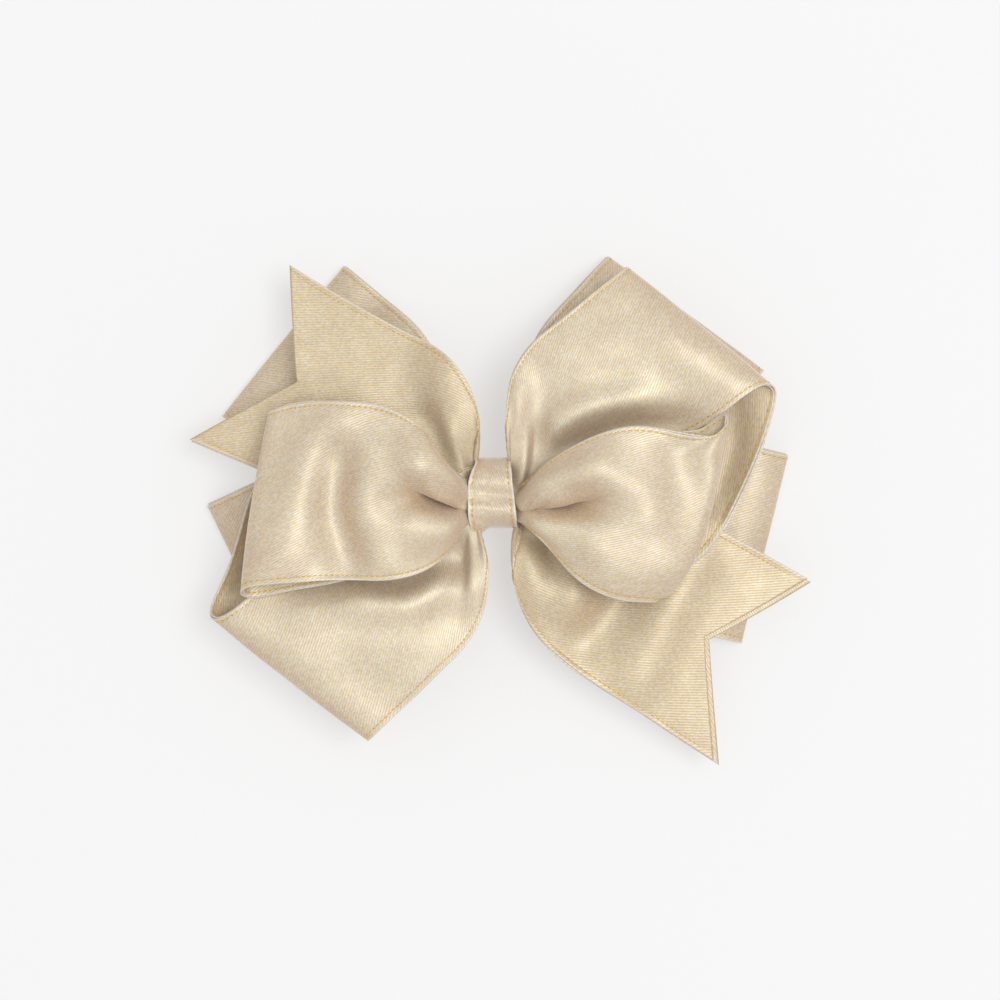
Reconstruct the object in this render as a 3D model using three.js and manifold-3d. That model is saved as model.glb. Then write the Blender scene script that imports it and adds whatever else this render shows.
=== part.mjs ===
// A clip-on gift bow made of wide double-ply satin ribbon: two flat loop bands crossed at the back, a twisted
// ribbon with two loops and two swallow-tailed ends in the middle, a small two-loop band in front, a narrow
// ribbon wrapped round the waist, and a sprung metal clip behind it. Millimetres. The bow lies on its back:
// +Z is its front, +X runs along the clip, and the origin is on the clip's flat underside, below the knot.
import * as THREE from "three";
import { mergeVertices } from "three/addons/utils/BufferGeometryUtils.js";
import Module from "manifold-3d";

const wasm = await Module();
wasm.setup();

// Driving dimensions.
const KNOT = { x: -0.6, y: 3.3 }; // the knot stands here, so the whole bow is centred on the origin
const RIBBON_WIDTH = 38; // the wide ribbon, 1 1/2 in
const WRAP_WIDTH = 10; // the narrow ribbon round the waist, 3/8 in
const PLY = 0.3; // one ply of ribbon
const PLY_PITCH = 0.42; // the two plies of a double ribbon, middle to middle
const WAIST_HALF = 5.8; // half the height of the gathered waist, along Y
const WAIST_X = 6.3; // where the ribbons leave the wrap, each side of the knot
const NOTCH = 13.3; // depth of the swallow-tail cut

// The clip, from the table up.
const SHEET = 0.8; // pressed steel
const UPPER_Z = 7; // middle of the upper jaw's flat plate
const UPPER_WIDTH = 9;
const LOWER_WIDTH = 6.8;
const HINGE = { x: -13, z: 3.7 };
const CLIP_LINING = 0.3;
const CLIP_LINING_WIDTH = 10;

// The waist is a stack of ribbon passes, one pitch apart, from the back of the bow to the front.
const PASS_PITCH = 1.1;
const FIRST_PASS_Z = 9.2;
const passZ = (k) => FIRST_PASS_Z + PASS_PITCH * k;
const PASS = { rearABack: 0, rearAFront: 1, rearBBack: 2, rearBFront: 3, tailThird: 4, tailFirst: 5,
  tailSecond: 6, frontBack: 7, frontFront: 8 };
const STACK_TOP = passZ(PASS.frontFront) + (PLY_PITCH + PLY) / 2;

const FABRIC = { color: 0xe3d5b4, roughness: 0.45, metalness: 0.25 };
const LINING = { color: 0xd9c8a2, roughness: 0.6, metalness: 0.15 };
const STEEL = { color: 0xb9bcc0, roughness: 0.3, metalness: 0.95 };
const THREAD = { color: 0xc9a648, roughness: 0.7, metalness: 0 };
const GLUE = { color: 0xe8e4d8, roughness: 0.5, metalness: 0 };

const bow = new THREE.Group();

function add(name, geometry, finish) {
  const mesh = new THREE.Mesh(geometry, new THREE.MeshStandardMaterial(finish));
  mesh.name = name;
  bow.add(mesh);
  return mesh;
}

// ---- Ribbon ---------------------------------------------------------------------------------------------
// A ribbon is a row of stations. Each station holds a point on either selvedge, [x, y, z, x, y, z], and how
// far the middle of the ribbon crowns above the line between them.

const ACROSS = 4;
const STEPS = 3;

function edgeCurves(stations, closed) {
  const curve = (from) => new THREE.CatmullRomCurve3(
    stations.map((s) => new THREE.Vector3(s[from], s[from + 1], s[from + 2])), closed, "centripetal");
  return [curve(0), curve(3)];
}

// A point on the ribbon's middle surface: u runs along it in stations, v across it from 0 to 1.
function surfacePoint(curves, stations, closed, u, v) {
  const spans = closed ? stations.length : stations.length - 1;
  const [a, b] = curves.map((c) => c.getPoint(closed ? (u / spans) % 1 : u / spans));
  const i = Math.floor(Math.min(u, spans - 1e-6));
  const crown = (k) => stations[k % stations.length][6] ?? 0;
  const rise = THREE.MathUtils.lerp(crown(i), crown(i + 1), u - i);
  const point = a.lerp(b, v);
  point.z += rise * 4 * v * (1 - v);
  return point;
}

// One ply as a closed solid, its middle standing off the ribbon's middle surface by offset.
function ribbonPly(stations, { closed = false, offset, notched = false }) {
  const curves = edgeCurves(stations, closed);
  const spans = closed ? stations.length : stations.length - 1;
  const rows = spans * STEPS + (closed ? 0 : 1);
  const cut = notched ? endCuts(curves, spans) : [() => 0, () => spans];
  const within = (u) => closed ? (u + spans) % spans : THREE.MathUtils.clamp(u, 0, spans);
  const at = (u, v) => surfacePoint(curves, stations, closed, within(u), v);
  const vertices = [];
  for (let i = 0; i < rows; i++) {
    for (let j = 0; j <= ACROSS; j++) {
      const v = j / ACROSS;
      const share = i / (spans * STEPS);
      const u = notched ? notchedPosition(share * spans, spans, cut, v) : share * spans;
      const h = 0.02;
      const along = at(u + h, v).sub(at(u - h, v));
      const across = at(u, Math.min(v + h, 1)).sub(at(u, Math.max(v - h, 0)));
      const normal = along.cross(across).normalize();
      const point = at(u, v);
      vertices.push(point.clone().addScaledVector(normal, offset + PLY / 2),
        point.clone().addScaledVector(normal, offset - PLY / 2));
    }
  }
  return closedSheet(vertices, rows, ACROSS + 1, closed);
}

// Where a swallow-tailed ribbon starts and ends at v: deepest in the middle, nothing at the selvedges.
function endCuts(curves, spans) {
  const endSpan = (from, to) => curves
    .map((c) => c.getPoint(from / spans).distanceTo(c.getPoint(to / spans)))
    .reduce((sum, d) => sum + d / 2, 0);
  const depth = (v) => NOTCH * (1 - Math.abs(2 * v - 1));
  return [(v) => depth(v) / endSpan(0, 1), (v) => spans - depth(v) / endSpan(spans - 1, spans)];
}

// The first and last spans are squeezed to start and stop on the cut.
function notchedPosition(u, spans, [start, stop], v) {
  if (u < 1) return THREE.MathUtils.lerp(start(v), 1, u);
  if (u > spans - 1) return THREE.MathUtils.lerp(spans - 1, stop(v), u - spans + 1);
  return u;
}

// Vertices come in pairs, top and bottom, row by row.
function closedSheet(vertices, rows, columns, closed) {
  const index = (i, j, side) => 2 * ((i % rows) * columns + j) + side;
  const faces = [];
  const quad = (a, b, c, d) => faces.push(a, b, c, a, c, d);
  const lastRow = closed ? rows : rows - 1;
  for (let i = 0; i < lastRow; i++) {
    for (let j = 0; j < columns - 1; j++) {
      quad(index(i, j, 0), index(i + 1, j, 0), index(i + 1, j + 1, 0), index(i, j + 1, 0));
      quad(index(i, j, 1), index(i, j + 1, 1), index(i + 1, j + 1, 1), index(i + 1, j, 1));
    }
    quad(index(i, 0, 0), index(i, 0, 1), index(i + 1, 0, 1), index(i + 1, 0, 0));
    quad(index(i, columns - 1, 0), index(i + 1, columns - 1, 0), index(i + 1, columns - 1, 1),
      index(i, columns - 1, 1));
  }
  if (!closed) {
    for (let j = 0; j < columns - 1; j++) {
      quad(index(0, j, 0), index(0, j + 1, 0), index(0, j + 1, 1), index(0, j, 1));
      quad(index(rows - 1, j, 0), index(rows - 1, j, 1), index(rows - 1, j + 1, 1), index(rows - 1, j + 1, 0));
    }
  }
  const geometry = new THREE.BufferGeometry();
  geometry.setAttribute("position", new THREE.Float32BufferAttribute(vertices.flatMap((p) => p.toArray()), 3));
  geometry.setIndex(faces);
  geometry.computeVertexNormals();
  return geometry;
}

// Both plies of a double ribbon. The normal points out of the loops, so the outer ply is on its side.
function addRibbon(name, stations, options) {
  add(name + "_outer", ribbonPly(stations, { ...options, offset: PLY_PITCH / 2 }), FABRIC);
  add(name + "_lining", ribbonPly(stations, { ...options, offset: -PLY_PITCH / 2 }), LINING);
}

// ---- Rear bands -----------------------------------------------------------------------------------------
// Each band is a ring with two flat loops. A loop leaves the waist, fans out to the ribbon's full width, lies
// over the clip, and drops to the table at its fold.

const FOLD_RADIUS = 0.9;
// How far along each face of a loop a station lies, from the waist to the fold, and its half width there.
const FAN = [[0.16, 9], [0.34, 14], [0.55, 18], [0.79, 19]];
// The faces stay level over the clip, then fall to the table; heights are above the waist, then above the table.
const DROP_A = { back: [0, 0, -1.2, 3.4], front: [0, 0, -1.2, 5.6] };
const DROP_B = { back: [0, 0, -0.5, 7.6], front: [0, 0, -0.5, 9.4] };
const FOLD_LOW = 0.06 + (PLY + PLY_PITCH) / 2;

const polar = (distance, degrees) => new THREE.Vector2(
  distance * Math.cos(THREE.MathUtils.degToRad(degrees)), distance * Math.sin(THREE.MathUtils.degToRad(degrees)));

function station(middle, side, half, z, crown = 0) {
  const a = middle.clone().addScaledVector(side, half);
  const b = middle.clone().addScaledVector(side, -half);
  return [a.x, a.y, z, b.x, b.y, z, crown];
}

// One side of a ring: out along the back face, round the fold, and home along the front face.
function rearLoop({ reach, bearing, facing }, backZ, frontZ, drop) {
  const fold = polar(reach, bearing);
  const exit = new THREE.Vector2(WAIST_X * Math.sign(fold.x), 0);
  const upright = new THREE.Vector2(0, 1);
  const side = polar(1, facing + 90);
  if (side.y < 0) side.negate();
  const face = (waistZ, heights, foldZ) => {
    const rows = FAN.map(([share, half], i) => station(
      exit.clone().lerp(fold, share), upright.clone().lerp(side, Math.min(1, 2 * share)).normalize(), half,
      i < 3 ? waistZ + heights[i] : heights[i]));
    const short = fold.clone().setLength(reach - FOLD_RADIUS);
    return [...rows, station(short, side, RIBBON_WIDTH / 2, foldZ)];
  };
  return [
    ...face(backZ, drop.back, FOLD_LOW),
    station(fold, side, RIBBON_WIDTH / 2, FOLD_LOW + FOLD_RADIUS),
    ...face(frontZ, drop.front, FOLD_LOW + 2 * FOLD_RADIUS).reverse(),
  ];
}

function rearBand({ right, left, drop }, backPass, frontPass) {
  const backZ = passZ(backPass);
  const frontZ = passZ(frontPass);
  const waist = (x, z) => [x, WAIST_HALF, z, x, -WAIST_HALF, z, 0];
  return [
    waist(WAIST_X, backZ),
    ...rearLoop(right, backZ, frontZ, drop),
    waist(WAIST_X, frontZ),
    waist(-WAIST_X, frontZ),
    ...rearLoop(left, backZ, frontZ, drop).reverse(),
    waist(-WAIST_X, backZ),
  ];
}

// bearing: where the middle of the fold lies; facing: the way the fold faces. Degrees from +X.
const REAR_A = { drop: DROP_A, right: { reach: 54.5, bearing: -11.5, facing: -14 },
  left: { reach: 51, bearing: 144, facing: 141 } };
const REAR_B = { drop: DROP_B, right: { reach: 51.2, bearing: 43, facing: 53.8 },
  left: { reach: 51.7, bearing: 202, facing: 206 } };

addRibbon("rear_band_a", rearBand(REAR_A, PASS.rearABack, PASS.rearAFront), { closed: true });
addRibbon("rear_band_b", rearBand(REAR_B, PASS.rearBBack, PASS.rearBFront), { closed: true });

// ---- Tail ribbon ----------------------------------------------------------------------------------------
// One ribbon from the upper left tail through the waist, round the upper right loop, through the waist, round
// the lower left loop, through the waist and out as the lower right tail.

const FIRST = passZ(PASS.tailFirst);
const SECOND = passZ(PASS.tailSecond);
const THIRD = passZ(PASS.tailThird);

const TAIL_RIBBON = [
  // upper left tail, tip to waist
  [-39.9, 44.5, 11.4, -59.9, 10.6, 11.4, 0],
  [-24.5, 36.2, 13.6, -45.6, 4.6, 14.4, 0],
  [-12.6, 28.9, 14.4, -31.0, -1.0, 14.6, 0],
  [-6.3, 19.0, 14.5, -18.0, -4.5, 14.6, 0],
  [-6.5, 10.5, 14.6, -10.5, -5.7, 14.6, 0],
  [-WAIST_X, 5.7, FIRST, -WAIST_X, -5.6, FIRST, 0],
  [WAIST_X, 5.7, FIRST, WAIST_X, -5.6, FIRST, 0],
  // upper right loop, back face
  [9.0, 11.0, 14.7, 12.0, -9.0, 14.7, 0],
  [14.0, 23.0, 14.7, 25.0, -13.0, 14.7, 0],
  [20.0, 34.0, 14.5, 38.3, -14.5, 14.6, 0],
  [23.8, 40.4, 14.1, 48.5, -1.4, 14.4, 0],
  [25.2, 43.0, 14.0, 53.8, 14.0, 14.2, 0],
  [26.2, 44.4, 15.3, 55.0, 20.6, 15.4, 0],
  // upper right loop, front face
  [25.0, 43.2, 16.7, 53.0, 20.4, 16.8, 0],
  [16.6, 38.2, 17.0, 46.0, 15.8, 17.0, 1.0],
  [7.5, 30.0, 17.0, 35.0, 9.0, 17.0, 1.4],
  [4.6, 21.0, 17.0, 24.0, 4.0, 16.9, 1.0],
  [5.2, 12.0, 16.4, 14.0, 0.0, 16.3, 0.3],
  [WAIST_X, 5.6, SECOND, WAIST_X, -5.0, SECOND, 0],
  [-WAIST_X, 5.0, SECOND, -WAIST_X, -5.6, SECOND, 0],
  // lower left loop, front face
  [-13.0, 0.0, 16.2, -4.8, -12.0, 16.4, 0.2],
  [-23.0, -4.5, 16.9, -3.8, -20.5, 17.0, 1.0],
  [-34.0, -11.0, 17.0, -8.2, -29.6, 17.0, 1.4],
  [-45.0, -18.5, 17.0, -15.8, -38.6, 17.0, 1.0],
  [-53.2, -24.4, 16.6, -23.0, -46.6, 16.5, 0],
  [-55.2, -23.8, 15.0, -24.4, -48.0, 14.9, 0],
  // lower left loop, back face
  [-54.6, -18.6, 13.4, -23.2, -46.4, 13.2, 0],
  [-52.0, -11.0, 13.3, -21.0, -41.0, 13.1, 0],
  [-47.2, 0.4, 13.2, -18.0, -32.0, 13.2, 0],
  [-33.0, 6.6, 13.4, -13.5, -21.0, THIRD, 0],
  [-17.0, 8.5, THIRD, -9.5, -11.0, THIRD, 0],
  [-WAIST_X, 5.8, THIRD, -WAIST_X, -5.8, THIRD, 0],
  [WAIST_X, 5.8, THIRD, WAIST_X, -5.8, THIRD, 0],
  // lower right tail, waist to tip
  [12.0, 6.0, THIRD, 6.8, -12.0, THIRD, 0],
  [20.0, 3.4, THIRD, 8.2, -21.5, THIRD, 0],
  [31.0, -1.6, 13.2, 15.2, -33.0, 13.1, 0],
  [45.2, -7.8, 12.6, 28.0, -42.4, 12.0, 0],
  [61.2, -16.9, 10.4, 43.5, -53.0, 9.4, 0],
];

addRibbon("tail_ribbon", TAIL_RIBBON, { notched: true });

// ---- Front band -----------------------------------------------------------------------------------------
// A ring with two puffed loops. It starts at the waist, on the back of the right loop.

const FRONT_BACK = passZ(PASS.frontBack);
const FRONT_FRONT = passZ(PASS.frontFront);

const FRONT_BAND = [
  [WAIST_X, 3.2, FRONT_BACK, WAIST_X, -4.8, FRONT_BACK, 0],
  [14.0, 8.0, 19.2, 12.8, -10.2, 19.2, 0],
  [25.0, 12.4, 19.8, 21.4, -17.4, 19.8, 0],
  [36.4, 13.0, 20.0, 28.2, -20.2, 20.0, 0],
  [43.8, 14.0, 20.2, 32.6, -20.6, 20.0, 0],
  [46.0, 14.0, 21.8, 34.2, -20.8, 21.4, 0],
  [44.6, 12.8, 23.5, 32.8, -21.2, 22.8, 0.4],
  [36.4, 11.8, 24.4, 27.0, -21.4, 24.0, 1.2],
  [26.0, 12.2, 24.4, 20.4, -18.0, 24.2, 2.0],
  [14.6, 8.0, 22.2, 13.0, -10.2, 22.0, 1.6],
  [WAIST_X, 3.0, FRONT_FRONT, WAIST_X, -4.6, FRONT_FRONT, 0],
  [-WAIST_X, 2.4, FRONT_FRONT, -WAIST_X, -5.4, FRONT_FRONT, 0],
  [-12.6, 9.2, 22.0, -12.0, -12.8, 22.2, 1.6],
  [-21.0, 15.6, 24.2, -22.0, -16.6, 24.4, 2.0],
  [-33.0, 17.2, 24.0, -36.0, -17.0, 24.4, 1.2],
  [-40.8, 16.6, 22.8, -46.6, -18.4, 23.5, 0.4],
  [-42.8, 15.6, 21.4, -48.8, -19.0, 21.8, 0],
  [-41.2, 15.8, 20.0, -47.0, -19.6, 20.2, 0],
  [-32.0, 16.0, 20.0, -37.0, -18.4, 20.0, 0],
  [-20.0, 13.2, 19.8, -23.0, -15.6, 19.8, 0],
  [-12.4, 8.4, 19.2, -12.4, -9.8, 19.2, 0],
  [-WAIST_X, 3.2, FRONT_BACK, -WAIST_X, -4.8, FRONT_BACK, 0],
];

addRibbon("front_band", FRONT_BAND, { closed: true });

// ---- Booleans -------------------------------------------------------------------------------------------

function solidOf(geometry) {
  const bare = geometry.index ? geometry.toNonIndexed() : geometry.clone();
  bare.deleteAttribute("normal");
  bare.deleteAttribute("uv");
  const merged = mergeVertices(bare, 1e-4);
  return new wasm.Manifold(new wasm.Mesh({
    numProp: 3,
    vertProperties: merged.getAttribute("position").array,
    triVerts: new Uint32Array(merged.index.array),
  }));
}

function geometryOf(solid) {
  const { vertProperties, triVerts } = solid.getMesh();
  const geometry = new THREE.BufferGeometry();
  geometry.setAttribute("position", new THREE.BufferAttribute(vertProperties, 3));
  geometry.setIndex(new THREE.BufferAttribute(triVerts, 1));
  geometry.computeVertexNormals();
  return geometry;
}

// ---- Waist ----------------------------------------------------------------------------------------------

// A band round the waist: its rounded outline in Y and Z, swept along X.
function waistRing({ half, bottom, top, foot, wall, width }) {
  const outline = (grow) => {
    const shape = new THREE.Path();
    const [h, lo, hi, f] = [half + grow, bottom - grow, top + grow, foot + grow];
    shape.moveTo(-f, lo);
    shape.lineTo(f, lo);
    shape.quadraticCurveTo(h, lo + 0.6, h, lo + 3.2);
    shape.lineTo(h, hi - 2.4);
    shape.quadraticCurveTo(h, hi, h - 2.6, hi);
    shape.lineTo(-h + 2.6, hi);
    shape.quadraticCurveTo(-h, hi, -h, hi - 2.4);
    shape.lineTo(-h, lo + 3.2);
    shape.quadraticCurveTo(-h, lo + 0.6, -f, lo);
    return shape;
  };
  const shape = new THREE.Shape(outline(wall).getPoints(5));
  shape.holes.push(new THREE.Path(outline(0).getPoints(5)));
  const geometry = new THREE.ExtrudeGeometry(shape, { depth: width, bevelEnabled: false, curveSegments: 5 });
  // the shape's x and y become the part's Y and Z, and the sweep runs along X
  geometry.translate(0, 0, -width / 2);
  geometry.applyMatrix4(new THREE.Matrix4().makeBasis(
    new THREE.Vector3(0, 1, 0), new THREE.Vector3(0, 0, 1), new THREE.Vector3(1, 0, 0)));
  return geometry;
}

const THREAD_WALL = 0.34;
const STACK_BOTTOM = FIRST_PASS_Z - (PLY_PITCH + PLY) / 2;
add("binding_thread", waistRing({ half: WAIST_HALF + 0.2, bottom: STACK_BOTTOM - 0.06, top: STACK_TOP + 0.06,
  foot: WAIST_HALF - 0.2, wall: THREAD_WALL, width: 2 }), THREAD);
add("centre_wrap", waistRing({ half: WAIST_HALF + 0.66, bottom: UPPER_Z - SHEET / 2 - 0.15,
  top: STACK_TOP + 0.5, foot: CLIP_LINING_WIDTH / 2 + 0.3, wall: PLY, width: WRAP_WIDTH }), FABRIC);

// ---- Clip -----------------------------------------------------------------------------------------------

// A pressed strip: its middle line in X and Z, given the sheet's thickness and swept across Y.
function pressedStrip(line, width, thickness = SHEET, lift = 0) {
  const curve = line.map(([x, z]) => new THREE.Vector2(x, z));
  const side = (sign) => curve.map((p, i) => {
    const before = curve[Math.max(i - 1, 0)];
    const after = curve[Math.min(i + 1, curve.length - 1)];
    const along = after.clone().sub(before).normalize();
    return p.clone().add(new THREE.Vector2(-along.y, along.x).multiplyScalar(lift + sign * thickness / 2));
  });
  return sweptAcross([...side(1), ...side(-1).reverse()], -width / 2, width / 2);
}

// An outline in X and Z, swept from one Y to another.
function sweptAcross(points, from, to, holes = []) {
  const shape = new THREE.Shape(points);
  shape.holes.push(...holes);
  const geometry = new THREE.ExtrudeGeometry(shape, { depth: to - from, bevelEnabled: false, curveSegments: 16 });
  // the sweep runs along -Y once the outline stands up, so it starts at the far side
  geometry.rotateX(Math.PI / 2);
  geometry.translate(0, to, 0);
  return geometry;
}

const EAR = { x0: -17, x1: -9.5, radius: 1.9 };
const PIN_RADIUS = 0.7;
const PIN_HOLE = 0.85;

// One ear of a jaw: a tongue from the plate to beyond the pin, with the pin's hole.
function ear(plateZ, tipZ, y0, y1) {
  const shape = [[EAR.x0, plateZ], [EAR.x1, plateZ], [HINGE.x + EAR.radius, tipZ], [HINGE.x - EAR.radius, tipZ]]
    .map(([x, z]) => new THREE.Vector2(x, z));
  if (tipZ < plateZ) shape.reverse();
  const hole = new THREE.Path().absarc(HINGE.x, HINGE.z, PIN_HOLE, 0, 2 * Math.PI, true);
  return sweptAcross(shape, y0, y1, [hole]);
}

// The saw-toothed flange along one side of the upper jaw.
const TEETH = { x0: 6.5, pitch: 2.2, count: 5, depth: 1.0 };
function toothedFlange(y0, y1) {
  const root = UPPER_Z - SHEET / 2;
  const points = [new THREE.Vector2(TEETH.x0, root + SHEET / 2)];
  for (let i = 0; i < TEETH.count; i++) {
    const x = TEETH.x0 + i * TEETH.pitch;
    points.push(new THREE.Vector2(x, root - 0.2), new THREE.Vector2(x + TEETH.pitch / 2, root - TEETH.depth));
  }
  const end = TEETH.x0 + TEETH.count * TEETH.pitch;
  points.push(new THREE.Vector2(end, root - 0.2), new THREE.Vector2(end, root + SHEET / 2));
  return sweptAcross(points, y0, y1);
}

const UPPER_LINE = [[-28, UPPER_Z + 0.3], [-22, UPPER_Z], [17.5, UPPER_Z], [20, UPPER_Z - 0.6],
  [22.5, UPPER_Z - 1.9], [24.6, UPPER_Z - 3.1]];
const LOWER_LINE = [[-27.5, SHEET / 2], [17.5, SHEET / 2], [20, 0.8], [22.5, 1.8], [24.6, 2.8]];

function clipUpperJaw() {
  const half = UPPER_WIDTH / 2;
  let solid = solidOf(pressedStrip(UPPER_LINE, UPPER_WIDTH));
  for (const [y0, y1] of [[half - SHEET, half], [-half, -half + SHEET]]) {
    solid = solid.add(solidOf(ear(UPPER_Z, HINGE.z - EAR.radius, y0, y1)));
    solid = solid.add(solidOf(toothedFlange(y0, y1)));
  }
  return geometryOf(solid);
}

function clipLowerJaw() {
  const half = LOWER_WIDTH / 2;
  let solid = solidOf(pressedStrip(LOWER_LINE, LOWER_WIDTH));
  for (const [y0, y1] of [[half - SHEET, half], [-half, -half + SHEET]]) {
    solid = solid.add(solidOf(ear(SHEET / 2, HINGE.z + EAR.radius, y0, y1)));
  }
  return geometryOf(solid);
}

// The pin is a rivet, with a head outside each of the upper jaw's ears.
function hingePin() {
  const head = { radius: 1.3, thickness: 0.5, at: UPPER_WIDTH / 2 + 0.1 };
  const end = head.at + head.thickness;
  const profile = [[0, -end], [head.radius, -end], [head.radius, -head.at], [PIN_RADIUS, -head.at],
    [PIN_RADIUS, head.at], [head.radius, head.at], [head.radius, end], [0, end]];
  const geometry = new THREE.LatheGeometry(profile.map(([r, y]) => new THREE.Vector2(r, y)), 20);
  geometry.translate(HINGE.x, 0, HINGE.z);
  return geometry;
}

// A torsion spring round the pin, its two legs pressing the levers apart.
const SPRING = { wire: 0.3, radius: 1.55, turns: 3, pitch: 0.8, legX: -24.5 };
function torsionSpring() {
  const points = [new THREE.Vector3(SPRING.legX, -SPRING.turns * SPRING.pitch / 2, UPPER_Z - SHEET / 2 - 0.5)];
  const perTurn = 12;
  const coil = SPRING.turns + 0.5;
  for (let i = 0; i <= perTurn * coil; i++) {
    const turn = i / perTurn;
    const angle = Math.PI / 2 - 2 * Math.PI * turn;
    points.push(new THREE.Vector3(HINGE.x + SPRING.radius * Math.cos(angle),
      SPRING.pitch * (turn - coil / 2), HINGE.z + SPRING.radius * Math.sin(angle)));
  }
  points.push(new THREE.Vector3(SPRING.legX, SPRING.turns * SPRING.pitch / 2, SHEET + 0.5));
  const section = new THREE.Shape().absarc(0, 0, SPRING.wire, 0, 2 * Math.PI);
  const path = new THREE.CatmullRomCurve3(points, false, "centripetal");
  return new THREE.ExtrudeGeometry(section, { steps: 64, curveSegments: 4, extrudePath: path });
}

const liningTop = UPPER_Z + SHEET / 2;
const LINING_LIFT = SHEET / 2 + 0.06 + CLIP_LINING / 2;

add("clip_upper_jaw", clipUpperJaw(), STEEL);
add("clip_lower_jaw", clipLowerJaw(), STEEL);
add("clip_hinge_pin", hingePin(), STEEL);
add("clip_spring", torsionSpring(), STEEL);
add("clip_lining_ribbon", pressedStrip(UPPER_LINE, CLIP_LINING_WIDTH, CLIP_LINING, LINING_LIFT), LINING);

const gluePad = new THREE.BoxGeometry(9, 6.4, 0.3);
gluePad.translate(0, 0, liningTop + CLIP_LINING + 0.3);
add("glue_pad", gluePad, GLUE);

// Everything above is laid out from the knot.
for (const mesh of bow.children) mesh.geometry.translate(KNOT.x, KNOT.y, 0);

export default bow;
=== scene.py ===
import math
import bpy
import numpy as np
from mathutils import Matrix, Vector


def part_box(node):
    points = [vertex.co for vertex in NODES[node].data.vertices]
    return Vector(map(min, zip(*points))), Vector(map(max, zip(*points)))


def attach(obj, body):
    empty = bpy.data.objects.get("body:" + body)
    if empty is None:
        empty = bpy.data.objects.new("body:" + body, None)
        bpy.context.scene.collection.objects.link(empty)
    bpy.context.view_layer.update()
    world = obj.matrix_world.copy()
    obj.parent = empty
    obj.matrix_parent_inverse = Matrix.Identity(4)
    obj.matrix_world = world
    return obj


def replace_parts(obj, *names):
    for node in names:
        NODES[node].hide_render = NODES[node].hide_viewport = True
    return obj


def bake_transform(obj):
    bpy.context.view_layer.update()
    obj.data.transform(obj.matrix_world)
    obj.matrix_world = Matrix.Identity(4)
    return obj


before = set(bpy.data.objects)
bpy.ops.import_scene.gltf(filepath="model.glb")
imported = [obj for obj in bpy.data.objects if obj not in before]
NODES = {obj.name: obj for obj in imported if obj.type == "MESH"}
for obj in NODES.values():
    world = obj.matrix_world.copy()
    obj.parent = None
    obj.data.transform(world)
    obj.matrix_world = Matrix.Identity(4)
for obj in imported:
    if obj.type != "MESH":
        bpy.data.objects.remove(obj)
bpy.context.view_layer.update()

SCENE = bpy.context.scene
MM = 0.001  # a millimetre in the frame's metres
norm = np.linalg.norm


# ---- Places, read from the frame
def box_mm(node):
    """A node's box in the frame: its low and its high corner, mm."""
    return [np.array(corner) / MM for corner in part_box(node)]


wrap_lo, wrap_hi = box_mm("centre_wrap")
thread_lo, thread_hi = box_mm("binding_thread")
THREAD_WALL = 0.76  # from the binding thread's outside to the middle of the nearest pass, mm
PASSES = 9
KNOT = (wrap_lo + wrap_hi) / 2
WAIST_Z = thread_lo[2] + THREAD_WALL  # the middle of the rearmost pass through the waist
PITCH = (thread_hi[2] - thread_lo[2] - 2 * THREAD_WALL) / (PASSES - 1)  # from one pass to the next
EYE = 545.6  # the camera's height over the middle of the bow, mm
PLANE = 15.0  # the height at which the outline was measured


def pass_z(k):
    return WAIST_Z + PITCH * k


# ---- Ribbon
RIBBON = 38.0  # width, mm
HALF = RIBBON / 2
PLY = 0.28  # thickness of one ply
PLY_PITCH = 0.37  # from the middle of one ply to the middle of the other
NOTCH = 13.3  # depth of the swallow-tail cuts
COLUMNS = 33  # points across the ribbon
ROW = 1.25  # mm along the ribbon from row to row
PER_STATION = 60  # points on the curves from station to station
GATHER, GATHER_FRONT = 0.36, 0.30  # share of the cloth's width that is left in the waist
GATHER_REACH = 20  # mm from the waist over which the cloth opens to its full width
PLEATS_GROW, PLEATS_FADE = 7, 24  # mm from the waist over which the pleats grow, and fade out
FOLD_REACH = 13  # mm from a fold over which it stands out beyond its corners
WAIST = 5.2  # from the knot's middle to the wrap's edge

# A station is (ax, ay, az, bx, by, bz): a point on either selvedge. A face lists its layer, counted from the
# back, and its stations. None marks a pass through the waist.


def waist_row(x, top, bottom, z):
    """A station straight across the waist."""
    return (x, top, z, x, bottom, z)


def polar(r, deg):
    return np.array([r * math.cos(math.radians(deg)), r * math.sin(math.radians(deg))])


# share of the way from waist to fold, half width
FAN = [(0.12, 8.2), (0.25, 12.6), (0.4, 16.4), (0.58, 18.8), (0.79, HALF)]


def rear_loop(reach, bearing, facing, back, front, drop):
    """Out along the back face, round the fold and home along the front face."""
    fold = polar(reach, bearing)
    start = np.array([WAIST * math.copysign(1, fold[0]), 0])
    side = polar(1, facing + 90)
    if side[1] < 0:
        side = -side

    def face(z0, far_z, fold_z):
        rows = []
        for share, half in FAN:
            mid = start + (fold - start) * share
            lean = min(1, 2 * share)
            d = np.array([0, 1]) * (1 - lean) + side * lean
            d = d / norm(d) * half
            z = z0 - 0.4 * max(0, (share - 0.3) / 0.3) if share < 0.7 else far_z
            rows.append((*(mid + d), z, *(mid - d), z))
        mid = fold * (reach - 0.9) / reach
        rows.append((*(mid + side * HALF), fold_z, *(mid - side * HALF), fold_z))
        return rows

    low = 0.95  # the height of the back face just before the fold
    edge = (*(fold + side * HALF), low + 0.9, *(fold - side * HALF), low + 0.9)
    return face(back, drop[0], low), edge, face(front, drop[1], low + 1.8)[::-1]


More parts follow.
